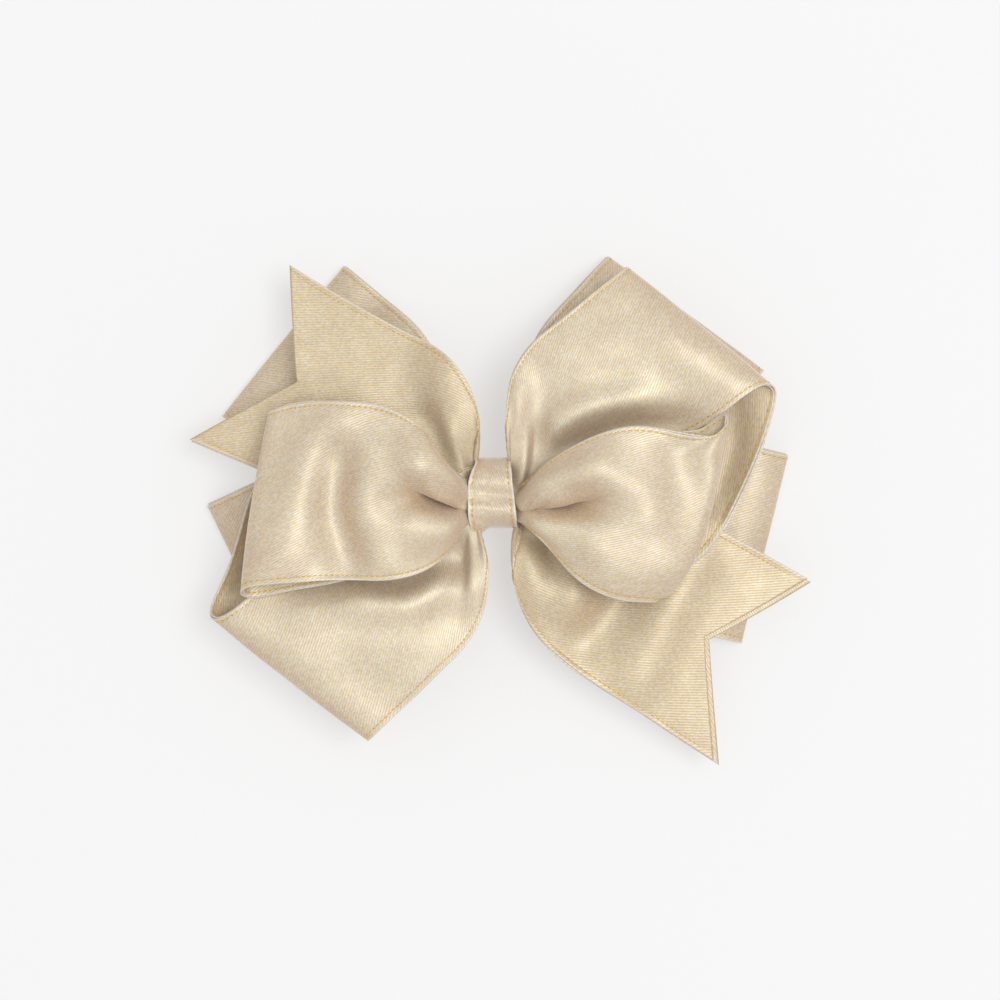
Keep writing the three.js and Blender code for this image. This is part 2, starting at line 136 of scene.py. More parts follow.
def rear_band(right, left, k, drop):
    zb, zf = pass_z(k), pass_z(k + 1)
    rb, redge, rf = rear_loop(*right, zb, zf, drop)
    lb, ledge, lf = rear_loop(*left, zb, zf, drop)
    return [
        (None, [waist_row(-WAIST, 5.8, -5.8, zb), waist_row(WAIST, 5.8, -5.8, zb)]),
        (k + 1, rb), ("fold", [redge]), (k + 2, rf),
        (None, [waist_row(WAIST, 5.8, -5.8, zf), waist_row(-WAIST, 5.8, -5.8, zf)]),
        (k + 2, lf[::-1]), ("fold", [ledge]), (k + 1, lb[::-1]),
    ]


REAR_A = rear_band((54.5, -11.5, -14), (51, 144, 141), 0, (3.6, 5.8))
REAR_B = rear_band((51.9, 43, 53.8), (51.7, 202, 206), 2, (8.0, 9.8))

Z4, Z5, Z6, Z7, Z8 = (pass_z(k) for k in (4, 5, 6, 7, 8))
TAIL = [
    (7, [(-39.9, 44.6, 11.5, -59.7, 10.4, 11.5), (-29.1, 37.9, 12.8, -48.0, 5.5, 13.2),
         (-18.3, 32.0, 13.8, -36.2, 0.8, 14.4), (-10.4, 28.1, 14.4, -27.8, -2.0, 14.6),
         (-5.5, 22.2, 14.8, -20.2, -4.0, 14.6), (-2.8, 14.8, 15.0, -12.0, -5.2, 14.6),
         (-2.8, 10.0, 15.0, -8.3, -5.6, 14.7)]),
    (None, [(-3.0, 6.3, Z5, -WAIST, -5.4, Z5), waist_row(WAIST, 5.9, -5.4, Z5)]),
    (7, [(8, 10, 14.7, 11, -8.5, 14.7), (11, 19, 14.7, 21, -13.5, 14.7), (15, 28, 14.5, 32, -16.5, 14.7),
          (19, 35, 13.6, 40.2, -13.6, 13.8), (22.5, 40, 13.2, 45.3, -7.0, 14.0),
         (24.2, 42.4, 13.0, 49.5, 1.2, 14.8), (25.4, 43.6, 13.2, 53.5, 11.0, 15.6),
         (25.9, 44.0, 13.9, 55.2, 17.2, 16.0)]),
    ("fold", [(26.1, 44.3, 15.4, 55.3, 20.0, 16.4)]),
    (8, [(25.4, 43.8, 17.0, 52.6, 21.3, 19.4), (17.0, 37.0, 17.8, 43.6, 14.9, 19.4),
         (11.5, 32.6, 17.8, 34.0, 9.5, 17.6), (7.3, 29.1, 18.0, 27.0, 6.0, 17.4),
         (3.6, 22.4, 17.8, 19.5, 2.6, 17.0), (2.7, 12.6, 17.2, 12.0, -1.0, 16.6)]),
    (None, [(3.0, 6.4, Z6, WAIST, -5.0, Z6), (-WAIST, 5.0, Z6, -3.0, -6.4, Z6)]),
    (8, [(-12, 1, 16.6, -1.4, -12.8, 17.2), (-19.5, -2.6, 17.0, -1.6, -21.5, 17.8),
         (-27, -6, 17.4, -4.9, -29.3, 18.0), (-36, -11.5, 17.6, -10.5, -34.9, 17.8),
         (-45, -18, 18.2, -16.6, -41, 17.4), (-53.0, -24.4, 18.4, -23.6, -47.6, 16.6)]),
    ("fold", [(-55.5, -24.2, 16.6, -24.5, -48.4, 15.2)]),
    (5, [(-55.2, -21, 15.4, -23.9, -47.8, 13.4), (-52.4, -15.5, 15.0, -22.4, -45, 12.8),
         (-50.3, -9.2, 14.4, -20.6, -41, 12.8), (-45.9, 3.1, 13.4, -17, -34, 13.2),
         (-34, 9, 13.4, -13.5, -25, 13.5), (-21, 10, 13.5, -10.5, -16, 13.6),
         (-11, 8.5, 13.6, -8, -10, 13.6)]),
    (None, [waist_row(-WAIST, 5.8, -5.8, Z4), waist_row(WAIST, 5.8, -5.8, Z4)]),
    (5, [(9.5, 5.6, 13.6, 4.2, -11, 13.8), (15, 4.6, 13.6, 4.2, -17.4, 13.9),
         (22, 2.4, 13.6, 6.2, -23.8, 13.9), (29, -0.4, 13.4, 9.6, -29.2, 13.7),
         (36.5, -3.6, 13.0, 15.5, -34.4, 13.2),
         (46, -8.1, 12.4, 26, -41.3, 12.2), (54, -12.5, 11.4, 35, -47.3, 11.0),
         (62.6, -17.4, 10.2, 44.4, -53.4, 9.6)]),
]

FRONT = [
    (None, [waist_row(-WAIST, 2.6, -5.8, Z7), waist_row(WAIST, 1.4, -5.6, Z7)]),
    (9, [(9.4, 5.0, 18.4, 9, -8, 18.4), (16, 9, 19.2, 14.5, -13, 19.0), (25, 12.0, 19.8, 20.5, -17.0, 19.6),
         (34, 12.0, 20.0, 26.0, -18.6, 19.6), (41.5, 12.4, 20.2, 30.2, -19.4, 19.4)]),
    ("fold", [(45.9, 16.2, 21.9, 31.8, -20.7, 20.4)]),
    (10, [(44.4, 11.5, 24.0, 30.4, -21.0, 21.6), (37.4, 11.4, 25.0, 25.9, -21.2, 22.6),
          (28.9, 13.1, 25.2, 20.7, -19.4, 23.2), (21.0, 11.4, 24.6, 16.2, -16.4, 22.8),
          (14.6, 8.2, 22.6, 12.2, -11.9, 21.4), (9.0, 4.3, 20.4, 8.4, -8.0, 20.2)]),
    (None, [waist_row(WAIST, 0.1, -5.6, Z8), waist_row(-WAIST, 2.4, -6.2, Z8)]),
    (10, [(-9.4, 6.0, 21.8, -8.4, -11.0, 20.8), (-14.3, 12.6, 24.8, -14.3, -15.6, 23.4),
          (-21.0, 16.9, 25.0, -22.8, -17.0, 24.4), (-30.0, 17.9, 24.2, -31.5, -17.0, 24.6),
          (-38.6, 17.8, 23.6, -40.6, -17.3, 24.6), (-42.4, 16.6, 22.8, -47.4, -18.0, 24.2)]),
    ("fold", [(-43.8, 15.6, 21.4, -49.4, -19.4, 22.2)]),
    (9, [(-42.2, 15.8, 20.2, -47.9, -20.9, 20.3), (-35, 16.2, 20.0, -40, -19.0, 20.0),
         (-26, 15.2, 19.8, -29, -17.0, 19.8), (-16.5, 10.4, 19.2, -17.5, -12.8, 19.2),
         (-9.4, 5.4, 18.4, -9.4, -8, 18.4)]),
]

def fold_relief(level, reach, bearing, facing):
    """A soft ridge and a soft valley beside a rear band's fold."""
    routes = []
    for height, breadth, inset in ((0.9, 2.0, 4.0), (-0.9, 2.6, 9.0)):
        middle = polar(reach, bearing) - polar(inset, facing)
        side = polar(HALF, facing + 90)
        routes.append((level, height, breadth, [tuple(middle + side), tuple(middle - side)]))
    return routes


# Ridges (+) and valleys (-) in plan: the layer, their height and breadth, and the points they run through.
RELIEF = {
    "front": [
        (10, 2.0, 3.4, [(8, 1.6), (20, 5)]), (10, 1.8, 3.8, [(8, -5.6), (19, -9.5)]),
        (10, -2.6, 1.5, [(5, -2.4), (16, -1.2)]), (10, -0.9, 2.2, [(16, -1.2), (23, -1.6)]),
        (10, 2.6, 9.0, [(23, 1), (29, -6)]), (10, 1.8, 4.0, [(20, -14), (27, -16), (33, -14)]),
        (10, -1.5, 2.6, [(36.8, 8), (35.6, 0), (33.5, -9)]), (10, 1.2, 2.2, [(41.5, 7), (40.4, 0), (38, -9)]),
        (10, 2.0, 3.8, [(-8, 3), (-15, 6)]), (10, 0.9, 3.4, [(-13.5, 6.5), (-14, 3)]),
        (10, 1.7, 7.6, [(-18, 7), (-19, 0)]),
        (10, 1.6, 3.6, [(-8, -6), (-15, -8)]), (10, -2.6, 1.5, [(-5, -2.8), (-14, 0.2)]),
        (10, -1.0, 2.2, [(-14, 0.2), (-20, -2)]), (10, -2.7, 3.0, [(-30.5, 7), (-31, -3), (-28, -14)]),
        (10, 1.5, 2.6, [(-23.6, 9), (-23.8, -4), (-21, -13)]),
        (10, 1.8, 4.4, [(-30, 13.5), (-36.5, 2), (-41, -12.5)]), (10, -0.8, 5.0, [(-41, 15), (-45, 4)]),
        (9, -1.4, 2.6, [(7, -1.6), (22, -1.4)]), (9, 1.0, 3.4, [(9, 3), (20, 6)]),
        (9, 1.0, 3.4, [(9, -6), (18, -10)]), (9, -1.4, 2.6, [(-7, -2), (-20, -1)]),
        (9, 1.0, 3.4, [(-9, 3), (-18, 8)]), (9, 1.0, 3.4, [(-9, -6), (-18, -9)]),
    ],
    "tail": [
        (8, 1.6, 2.5, [(4.8, 5), (5.2, 19)]), (8, -2.4, 1.7, [(8.4, 3), (9.2, 12)]),
        (8, 2.4, 3.4, [(11.5, 13.2), (18, 17), (28, 18.6)]), (8, 2.2, 9.0, [(18, 26), (34, 27)]),
        (8, -1.8, 3.0, [(14, 8.5), (25, 12.8), (38, 13)]), (8, 0.9, 3.2, [(24, 38), (35, 29.5), (46, 21)]),
        (8, 1.6, 2.5, [(-4.2, -6), (-3.4, -19)]), (8, -2.4, 1.7, [(-6.6, -10), (-7.2, -14)]),
        (8, 2.2, 3.4, [(-9, -17), (-16, -21.6), (-26, -20.4)]), (8, 2.2, 9.0, [(-20, -27), (-34, -28)]),
        (8, -1.8, 3.4, [(-8, -13), (-18, -17), (-38, -17)]),
        (8, 0.9, 2.6, [(-49, -23.7), (-38.7, -31.5), (-24, -45)]),
        (7, 2.8, 5.0, [(-6.5, 12), (-9, 25)]), (7, -1.6, 1.8, [(-9.5, 7), (-13, 13.5)]),
        (7, 1.0, 8.0, [(-28, 20), (-44, 28)]), (5, 2.0, 3.0, [(5.6, -9), (8, -20)]),
        (5, -2.4, 2.2, [(8, -6.5), (12, -14)]), (5, 2.6, 4.8, [(13, -14), (15, -21)]),
        (7, -3.4, 5.2, [(47, 12), (44.5, 2), (40, -6)]), (5, -3.2, 4.6, [(-50, -20), (-47, -12), (-44, -4)]),
        (5, 1.8, 4.0, [(40, -13), (34, -25), (28.5, -37)]), (5, -2.2, 4.4, [(30, -11), (24, -22), (18, -29)]),
    ],
    "rear_a": fold_relief(2, 54.5, -11.5, -14) + fold_relief(2, 51, 144, 141),
    "rear_b": fold_relief(4, 51.2, 43, 53.8) + fold_relief(4, 51.7, 202, 206),
}


def relief(X, name, mask, layer):
    """Height to add to the points X for the ridges and valleys of their layer."""
    total = np.zeros(X.shape[:2])
    for level, height, breadth, route in RELIEF[name]:
        far = np.full(X.shape[:2], 1e3)
        for (x0, y0), (x1, y1) in zip(route, route[1:]):
            d = np.array([x1 - x0, y1 - y0], float)
            t = np.clip(((X[:, :, 0] - x0) * d[0] + (X[:, :, 1] - y0) * d[1]) / (d @ d), 0, 1)
            away_x, away_y = X[:, :, 0] - x0 - t * d[0], X[:, :, 1] - y0 - t * d[1]
            far = np.minimum(far, np.hypot(away_x, away_y))
        total += height * np.exp(-(far / breadth) ** 2) * (mask & (layer == level))[:, None]
    return total


# How far a fold stands out from the line between its corners, scale * v^a * (1 - v)^b: right 1, left -1.
BULGE = {("front", 1): (17.6, 1.4, 0.6), ("front", -1): (2.6, 1, 1),
         ("tail", 1): (1.6, 1, 1), ("tail", -1): (1.6, 1, 1)}


def catmull(points, closed, per_span):
    """Centripetal Catmull-Rom through the points: positions, and the station each falls in."""
    p = np.asarray(points, float)
    if closed:
        p = np.vstack([p[-1:], p, p[:2]])
    else:
        p = np.vstack([2 * p[:1] - p[1:2], p, 2 * p[-1:] - p[-2:-1]])
    out, where = [], []
    for i in range(1, len(p) - 2):
        a, b, c, d = p[i - 1:i + 3]
        t = np.cumsum([0] + [max(norm(q - r), 1e-6) ** 0.5 for q, r in ((b, a), (c, b), (d, c))])
        u = np.linspace(t[1], t[2], per_span, endpoint=False)[:, None]

        def between(low, high, first, second):
            return (t[high] - u) / (t[high] - t[low]) * first + (u - t[low]) / (t[high] - t[low]) * second

        one, two, three = between(0, 1, a, b), between(1, 2, b, c), between(2, 3, c, d)
        out.append(between(1, 2, between(0, 2, one, two), between(1, 3, two, three)))
        where.append(i - 1 + np.arange(per_span) / per_span)
    if not closed:
        out.append(p[-2:-1])
        where.append(np.array([float(len(p) - 3)]))
    return np.vstack(out), np.concatenate(where)


def run_length(path):
    """How far along a path each of its points is."""
    return np.concatenate([[0], np.cumsum(norm(np.diff(path, axis=0), axis=1))])


def smoothstep(x):
    x = np.clip(x, 0, 1)
    return x * x * (3 - 2 * x)


class Strip:
    """One double ribbon as a grid of points: rows along it, columns across."""
    width, row, held = RIBBON, ROW, "gathered"

    def __init__(self, name, faces, closed, profile, gather):
        self.name, self.closed, self.notch = name, closed, (0 if closed else NOTCH)
        where = self.lay_rows([station for _, stations in faces for station in stations])
        self.sort_rows(where, [kind for kind, stations in faces for _ in stations])
        self.gather = gather + (1 - gather) * smoothstep(self.from_waist / GATHER_REACH)
        self.draw(profile)

    def lay_rows(self, stations):
        """Evenly spaced rows between the selvedges' curves; returns the station that each falls in."""
        st = np.array(stations)
        # take the perspective of the measuring height out of the plan
        for c in (0, 3):
            shrink = 1 - (st[:, c + 2] - PLANE) / EYE
            st[:, c] *= shrink
            st[:, c + 1] *= shrink
        a, where = catmull(st[:, :3], self.closed, PER_STATION)
        b, _ = catmull(st[:, 3:], self.closed, PER_STATION)
        if self.closed:
            a, b = np.vstack([a, a[:1]]), np.vstack([b, b[:1]])
            where = np.append(where, len(st))
        run_a, run_b = run_length(a), run_length(b)
        mean = (run_a + run_b) / 2
        at = np.linspace(0, mean[-1], int(round(mean[-1] / ROW / 4)) * 4 + 1)
        if self.closed:
            at = at[:-1]
        self.s, self.length, self.n, self.m = at, mean[-1], len(at), COLUMNS
        self.v = np.linspace(0, 1, COLUMNS)
        self.A, self.B = (np.stack([np.interp(at, mean, side[:, k]) for k in range(3)], 1) for side in (a, b))
        self.step_A, self.step_B = (self.steps(np.interp(at, mean, run), run[-1]) for run in (run_a, run_b))
        return np.interp(at, mean, where)

    def steps(self, at, end):
        return np.diff(np.append(at, end) if self.closed else at)

    def sort_rows(self, where, kinds):
        """What each row belongs to: a pass through the waist, a fold or a layer."""
        count = len(kinds)
        index = np.floor(where).astype(int) % count
        after = (index + 1) % count if self.closed else np.minimum(index + 1, count - 1)
        self.pinned = np.array([kinds[i] is None and kinds[j] is None for i, j in zip(index, after)])
        nearest = [round(x) for x in where]
        self.fold = np.array([abs(x - k) < 0.5 and kinds[int(k) % count] == "fold"
                              for x, k in zip(where, nearest)])
        layer = []
        for i, j, x in zip(index, after, where):
            near, far = (i, j) if x - math.floor(x) < 0.5 else (j, i)
            k = kinds[near] if isinstance(kinds[near], int) else kinds[far]
            layer.append(k if isinstance(k, int) else 0)
        self.layer = np.array(layer)
        self.from_waist, self.from_fold = self.distance(self.pinned), self.distance(self.fold)

    def distance(self, mask):
        """How far along the ribbon each row is from the nearest row in the mask."""
        d = np.abs(self.s[:, None] - self.s[mask][None, :])
        if self.closed:
            d = np.minimum(d, self.length - d)
        return d.min(1)

    def draw(self, profile):
        """The drawn surface: straight lines between the selvedges, then pleats, ridges and round folds."""
        v = self.v[None, :, None]
        X = self.A[:, None] * (1 - v) + self.B[:, None] * v
        fade = np.where(self.pinned, 1.0, 1 - smoothstep(self.from_waist / PLEATS_FADE))
        swell = 0.6 + 2.0 * smoothstep(self.from_waist / PLEATS_GROW)
        X[:, :, 2] += (fade * swell)[:, None] * profile(self.v)[None, :]
        X[:, :, 2] += relief(X, self.name, ~self.pinned, self.layer)
        for row in np.flatnonzero(self.fold & ~np.roll(self.fold, 1)):
            self.round_fold(X, row)
        self.X0 = X

    def round_fold(self, X, row):
        """Makes the fold that starts at this row stand out between its corners."""
        corners = (self.B[row] - self.A[row])[:2]
        out = np.array([-corners[1], corners[0]]) / norm(corners)
        right = int(np.sign(self.A[row, 0]))
        out *= right * np.sign(out[0])
        scale, a, b = BULGE.get((self.name, right), (0, 1, 1))
        away = np.abs(self.s - self.s[row])
        if self.closed:
            away = np.minimum(away, self.length - away)
        reach = 1 - smoothstep(away / FOLD_REACH)
        edge = scale * self.v ** a * (1 - self.v) ** b
        X[:, :, :2] += reach[:, None, None] * edge[None, :, None] * out


def profile_wide(v):
    """Two shallow pleats."""
    return 0.38 * np.cos(2 * np.pi * 2 * (v - 0.5))


def profile_front(v):
    """Two humps with a sharp valley between them, and selvedges that flare."""
    middle = 0.53
    upper, lower = 1.3 * np.sin(np.pi * v / middle), 1.15 * np.sin(np.pi * (1 - v) / (1 - middle))
    humps = np.where(v < middle, upper, lower)
    flare = np.exp(-(v / 0.05) ** 2) + np.exp(-((1 - v) / 0.05) ** 2)
    return humps - 0.3 + 0.4 * flare


STRIPS = [
    Strip("rear_a", REAR_A, True, profile_wide, GATHER),
    Strip("rear_b", REAR_B, True, profile_wide, GATHER),
    Strip("tail", TAIL, False, profile_wide, GATHER),
    Strip("front", FRONT, True, profile_front, GATHER_FRONT),
]


# ---- Relaxing the cloth
def constraint_sets(strips):
    """Pairs of points and their lengths in the flat cloth, in sets where no point occurs twice."""
    sets = []

    def add(kind, a, b, rest, strength):
        sets.append((kind, a.ravel(), b.ravel(), rest.ravel(), strength))

    start = 0
    for s in strips:
        n, m = s.n, s.m
        grid = start + np.arange(n * m).reshape(n, m)
        start += n * m
        rows = n if s.closed else n - 1
        step = s.step_A[:, None] * (1 - s.v) + s.step_B[:, None] * s.v
        # most of the fullness between the selvedges has been eased out by pressing
        drawn = norm(np.roll(s.X0, -1, 0) - s.X0, axis=2)
        along = ((1 - EASED) * step[:rows] + EASED * np.minimum(drawn[:rows], step[:rows] * 1.1))
        width = RIBBON / (m - 1) * s.gather
        reach = norm(np.diff(s.X0, axis=1), axis=2)
        across = (1 - EASED) * width[:, None] + EASED * reach
        after = np.roll(grid, -1, 0)
        for parity in (0, 1):
            i = np.arange(parity, rows, 2)
            add("along", grid[i], after[i], along[i], 1.0)
        for parity in (0, 1):
            j = np.arange(parity, m - 1, 2)
            add("across", grid[:, j], grid[:, j + 1], across[:, j], 1.0)
        middle = (across + np.roll(across, -1, 0)) / 2
        for parity in (0, 1):
            i = np.arange(parity, rows, 2)
            diagonal = np.hypot(along[i][:, :-1], middle[i])
            add("shear", grid[i][:, :-1], after[i][:, 1:], diagonal, SHEAR)
            add("shear", grid[i][:, 1:], after[i][:, :-1], diagonal, SHEAR)
        # bending is a length over two steps
        second = np.roll(grid, -2, 0)
        two = along + np.roll(along, -1, 0)
        last = n if s.closed else n - 2
        for phase in range(4):
            i = np.arange(phase, last, 4)
            add("bend", grid[i], second[i], two[i], BENDING)
            j = np.arange(phase, m - 2, 4)
            add("bend", grid[:, j], grid[:, j + 2], across[:, j] + across[:, j + 1], BENDING)
    return sets


ROUNDS = 140
PRESSING = 16  # rounds of pressing at the end
EASED = 0.80  # share of the fullness that pressing has taken out
SHEAR, BENDING = 0.25, 0.09  # strength of the diagonals and of the lengths over two steps
STIFFNESS = 0.025
CELL = 1.6  # mm, of the grid of heights that keeps the layers apart
CLEARANCE = 0.95  # mm from layer to layer
EMPTY = -50.0  # the height of a cell with no cloth in it
LOWEST = 0.6  # mm, the least height of the ribbons' middle surfaces
PUSH = 0.6  # mm, the most that one round lifts a point over the layer below
# How strongly a point is drawn back to its place: on a selvedge or a free end, beside a selvedge, and on a
# fold. The last is every point's, for its height alone.
HOLD_EDGE, HOLD_BESIDE, HOLD_FOLD, HOLD_HEIGHT = 0.25, 0.06, 0.12, 0.06


def guides(strip):
    """How strongly each point is drawn back to its place, and to its height alone."""
    pull = np.zeros((strip.n, strip.m))
    pull[:, 0] = pull[:, -1] = HOLD_EDGE
    pull[:, 1] = pull[:, -2] = HOLD_BESIDE
    pull[strip.fold] = np.maximum(pull[strip.fold], HOLD_FOLD)
    if not strip.closed:
        pull[0] = pull[-1] = HOLD_EDGE
    lift = np.where(strip.pinned[:, None], 0, np.full((strip.n, strip.m), HOLD_HEIGHT))
    return pull.ravel(), lift.ravel()


def shared(sets, inverse):
    """The sets without the pairs that are held at both ends, and each end's share of a correction."""
    out = []
    for kind, a, b, rest, strength in sets:
        total = inverse[a] + inverse[b]
        keep = total > 0
        a, b, rest, total = a[keep], b[keep], rest[keep], total[keep]
        out.append((kind, a, b, rest, strength * inverse[a] / total, strength * inverse[b] / total))
    return out


def correct(X, sets):
    """Moves every pair towards its length; a bend is only opened, never closed."""
    for kind, a, b, rest, share_a, share_b in sets:
        d = X[b] - X[a]
        length = np.sqrt((d * d).sum(1)) + 1e-9
        stretch = (length - rest) / length
        if kind == "bend":
            stretch = np.minimum(stretch, 0)
        X[a] += (share_a * stretch)[:, None] * d
        X[b] -= (share_b * stretch)[:, None] * d


def relax(strips):
    """The strips' grids of points, after the cloth has found its own lengths."""
    X = np.vstack([s.X0.reshape(-1, 3) for s in strips])
    target = X.copy()
    pinned, layer, from_fold = (np.concatenate([np.repeat(getattr(s, key), s.m) for s in strips])
                                for key in ("pinned", "layer", "from_fold"))
    pull, lift = (np.concatenate(parts) for parts in zip(*(guides(s) for s in strips)))
    inverse = np.where(pinned, 0.0, 1.0)
    sets = shared(constraint_sets(strips), inverse)
    lo = X[:, :2].min(0) - 4
    size = np.ceil((X[:, :2].max(0) + 4 - lo) / CELL).astype(int)
    for r in range(ROUNDS):
        correct(X, sets)
        X += (inverse * pull)[:, None] * (target - X)
        X[:, 2] += lift * (target[:, 2] - X[:, 2])
        X[:, 2] = np.maximum(X[:, 2], LOWEST)
        if r % 2 == 0:
            separate(X, layer, from_fold, inverse, lo, size)
        stiffen(X, strips, inverse, STIFFNESS)
    # pressing takes the last short wrinkles out
    for r in range(PRESSING):
        stiffen(X, strips, inverse * (1 - pull), 4 * STIFFNESS)
        if r % 4 == 3:
            separate(X, layer, from_fold, inverse, lo, size)
    ends = np.cumsum([s.n * s.m for s in strips])[:-1]
    return [part.reshape(s.n, s.m, 3) for part, s in zip(np.split(X, ends), strips)]


def spread(heights):
    """Every cell takes the greatest height among itself and its eight neighbours."""
    for _ in "xy":
        tall = heights.copy()
        tall[1:] = np.maximum(tall[1:], heights[:-1])
        tall[:-1] = np.maximum(tall[:-1], heights[1:])
        heights = tall.T
    return heights


def separate(X, layer, from_fold, inverse, lo, size):
    """Keeps each layer of cloth above the layers behind it."""
    cell = np.clip(((X[:, :2] - lo) / CELL).astype(int), 0, size - 1)
    flat = cell[:, 0] * size[1] + cell[:, 1]
    ground = np.full(size[0] * size[1], EMPTY)
    for k in sorted(set(layer[layer > 0])):
        mine = (layer == k)
        # the clearance closes towards a fold, where the cloth goes from one layer to the next
        gap = CLEARANCE * np.clip((from_fold[mine] - 1.0) / 4, 0, 1)
        need = ground[flat[mine]] + gap - X[mine, 2]
        push = np.clip(need, 0, PUSH) * inverse[mine] * (gap > 0)
        X[mine, 2] += 0.5 * push
        top = np.full(size[0] * size[1], EMPTY)
        solid = mine & (from_fold > 2.0)
        np.maximum.at(top, flat[solid], X[solid, 2])
        grid = top.reshape(size)
        # the spread only fills gaps in the layer's own cover, and raises nothing that it covers already
        filled = np.where(grid > EMPTY + 10, grid, spread(grid))
        ground = np.maximum(ground, filled.ravel())


def unevenness(G, closed, keep=1.0):
    """The bend's own bend from row to row, where keep is how much of each bend counts."""
    if closed:
        bend = (np.roll(G, 1, 0) + np.roll(G, -1, 0) - 2 * G) * keep
        return np.roll(bend, 1, 0) + np.roll(bend, -1, 0) - 2 * bend
    bend = np.zeros_like(G)
    bend[1:-1] = G[2:] + G[:-2] - 2 * G[1:-1]
    bend *= keep
    padded = np.concatenate([bend[:1] * 0, bend, bend[:1] * 0])
    return padded[2:] + padded[:-2] - 2 * bend


def stiffen(X, strips, inverse, amount):
    """Takes out short wrinkles and leaves broad ones, as a stiff ribbon does; folds stay sharp."""
    start = 0
    for s in strips:
        end = start + s.n * s.m
        G = X[start:end].reshape(s.n, s.m, 3)
        free = amount * inverse[start:end].reshape(s.n, s.m, 1)
        crease = (0.15 + 0.85 * smoothstep((s.from_fold - 1.5) / 4))[:, None, None]
        G -= free * unevenness(G, s.closed, crease)
        fade = (s.gather ** 3)[:, None, None]
        G -= free * fade * unevenness(G.swapaxes(0, 1), False).swapaxes(0, 1)
        start = end


SHAPES = dict(zip((s.name for s in STRIPS), relax(STRIPS)))
STRIP = {s.name: s for s in STRIPS}


# ---- From grids to pieces
def sample(G, U, V, closed):
    """The grid's smooth surface at rows U and columns V."""
    n, m = G.shape[:2]
    if closed:
        P = np.concatenate([G[-1:], G, G[:2]])
        U = U % n
    else:
        P = np.concatenate([2 * G[:1] - G[1:2], G, 2 * G[-1:] - G[-2:-1]])
        U = np.clip(U, 0, n - 1 - 1e-9)
    P = np.concatenate([2 * P[:, :1] - P[:, 1:2], P, 2 * P[:, -1:] - P[:, -2:-1]], 1)
    V = np.clip(V, 0, m - 1 - 1e-9)
    i, j = np.floor(U).astype(int), np.floor(V).astype(int)

    def weights(t):
        return [(-t + 2 * t ** 2 - t ** 3) / 2, (2 - 5 * t ** 2 + 3 * t ** 3) / 2,
                (t + 4 * t ** 2 - 3 * t ** 3) / 2, (t ** 3 - t ** 2) / 2]

    wu, wv = weights(U - i), weights(V - j)
    out = 0
    for a in range(4):
        for b in range(4):
            out = out + (wu[a] * wv[b])[..., None] * P[i + a, j + b]
    return out


# Tucks in the face of the front band: the cloth on the +Y side laps over a valley that leaves the knot.
# Each has a strength and the points that it runs through.
TUCKS = [(1.0, [(3.4, -2.6), (6, -2.4), (12, -1.7), (20, -1.0), (26, -1.6)]),
         (0.8, [(-3.4, -2.9), (-6, -2.6), (-10, -0.9), (-15.5, 0.8), (-21, -1.2)])]
TUCK_BREADTH, TUCK_LAP, TUCK_HEIGHT = 1.15, 1.9, 0.9  # half a tuck's width, how far it laps over, its rise
FRONT_FACE = 10  # the layer that has them
VALLEY = (2.7, 1.7, 1.5)  # depth, breadth and distance to the -Y side of the tuck


def tucked(P, weight):
    """The points P with the tucks laid in: the cloth is slid over itself and pressed down beside it."""
    depth, breadth, beside = VALLEY
    for strength, route in TUCKS:
        line = np.array(route, float)
        knot, tip = line[0, 0], line[-1, 0]
        out = (P[..., 0] - knot) / (tip - knot)
        y = np.interp(P[..., 0] * np.sign(tip), line[:, 0] * np.sign(tip), line[:, 1])
        across = P[..., 1] - y
        begun = strength * weight * smoothstep(out * 9) * (out > 0)
        x = across / TUCK_BREADTH
        odd = x * np.exp((1 - x * x) / 2) * begun * (1 - smoothstep((out - 0.35) / 0.5))
        low = np.exp(-((across + beside * (0.5 + out)) / (breadth * (0.5 + out))) ** 2) * begun
        low = low * (1 - smoothstep((out - 0.4) / 0.6)) * (0.4 + smoothstep(out * 4))
        P = P + np.stack([0 * odd, -TUCK_LAP * odd, TUCK_HEIGHT * odd - depth * low], -1)
    return P


def surface(strip, G, U, V):
    P = sample(G, U, V, strip.closed)
    if strip.name == "front":
        over_waist = strip.pinned & (strip.X0[:, 0, 2] > (Z7 + Z8) / 2)
        weight = np.where((strip.layer == FRONT_FACE) | over_waist, 1.0, 0.0)
        P = tucked(P, weight[np.round(U).astype(int) % strip.n])
    return P


def normals(strip, G, U, V):
    h = 0.35  # half the span of a difference, in rows or columns
    du = surface(strip, G, U + h, V) - surface(strip, G, U - h, V)
    m = G.shape[1]
    dv = surface(strip, G, U, np.minimum(V + h, m - 1)) - surface(strip, G, U, np.maximum(V - h, 0))
    return unit(np.cross(du, dv))


def wave(x, seed, period):
    """A smooth seeded wave, about -1 to 1."""
    rng = np.random.default_rng(seed)
    out = 0
    for k in range(1, 5):
        out = out + np.sin(2 * np.pi * (x / period * k * rng.uniform(0.8, 1.2) + rng.uniform())) / k
    return out / 1.6


def mesh_object(name, points, quads, material, body="bow"):
    mesh = bpy.data.meshes.new(name)
    mesh.from_pydata((np.asarray(points) * MM).tolist(), [], [tuple(q) for q in quads])
    mesh.materials.append(material)
    mesh.polygons.foreach_set("use_smooth", [True] * len(mesh.polygons))
    ob = bpy.data.objects.new(name, mesh)
    SCENE.collection.objects.link(ob)
    if body:
        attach(ob, body)
    return ob


def walls(index):
    """The quads between neighbouring rings, where index holds the rings' points."""
    turned = np.roll(index, -1, -1)
    near, far = index[..., :-1, :], index[..., 1:, :]
    return np.stack([near, far, turned[..., 1:, :], turned[..., :-1, :]], -1).reshape(-1, 4).tolist()


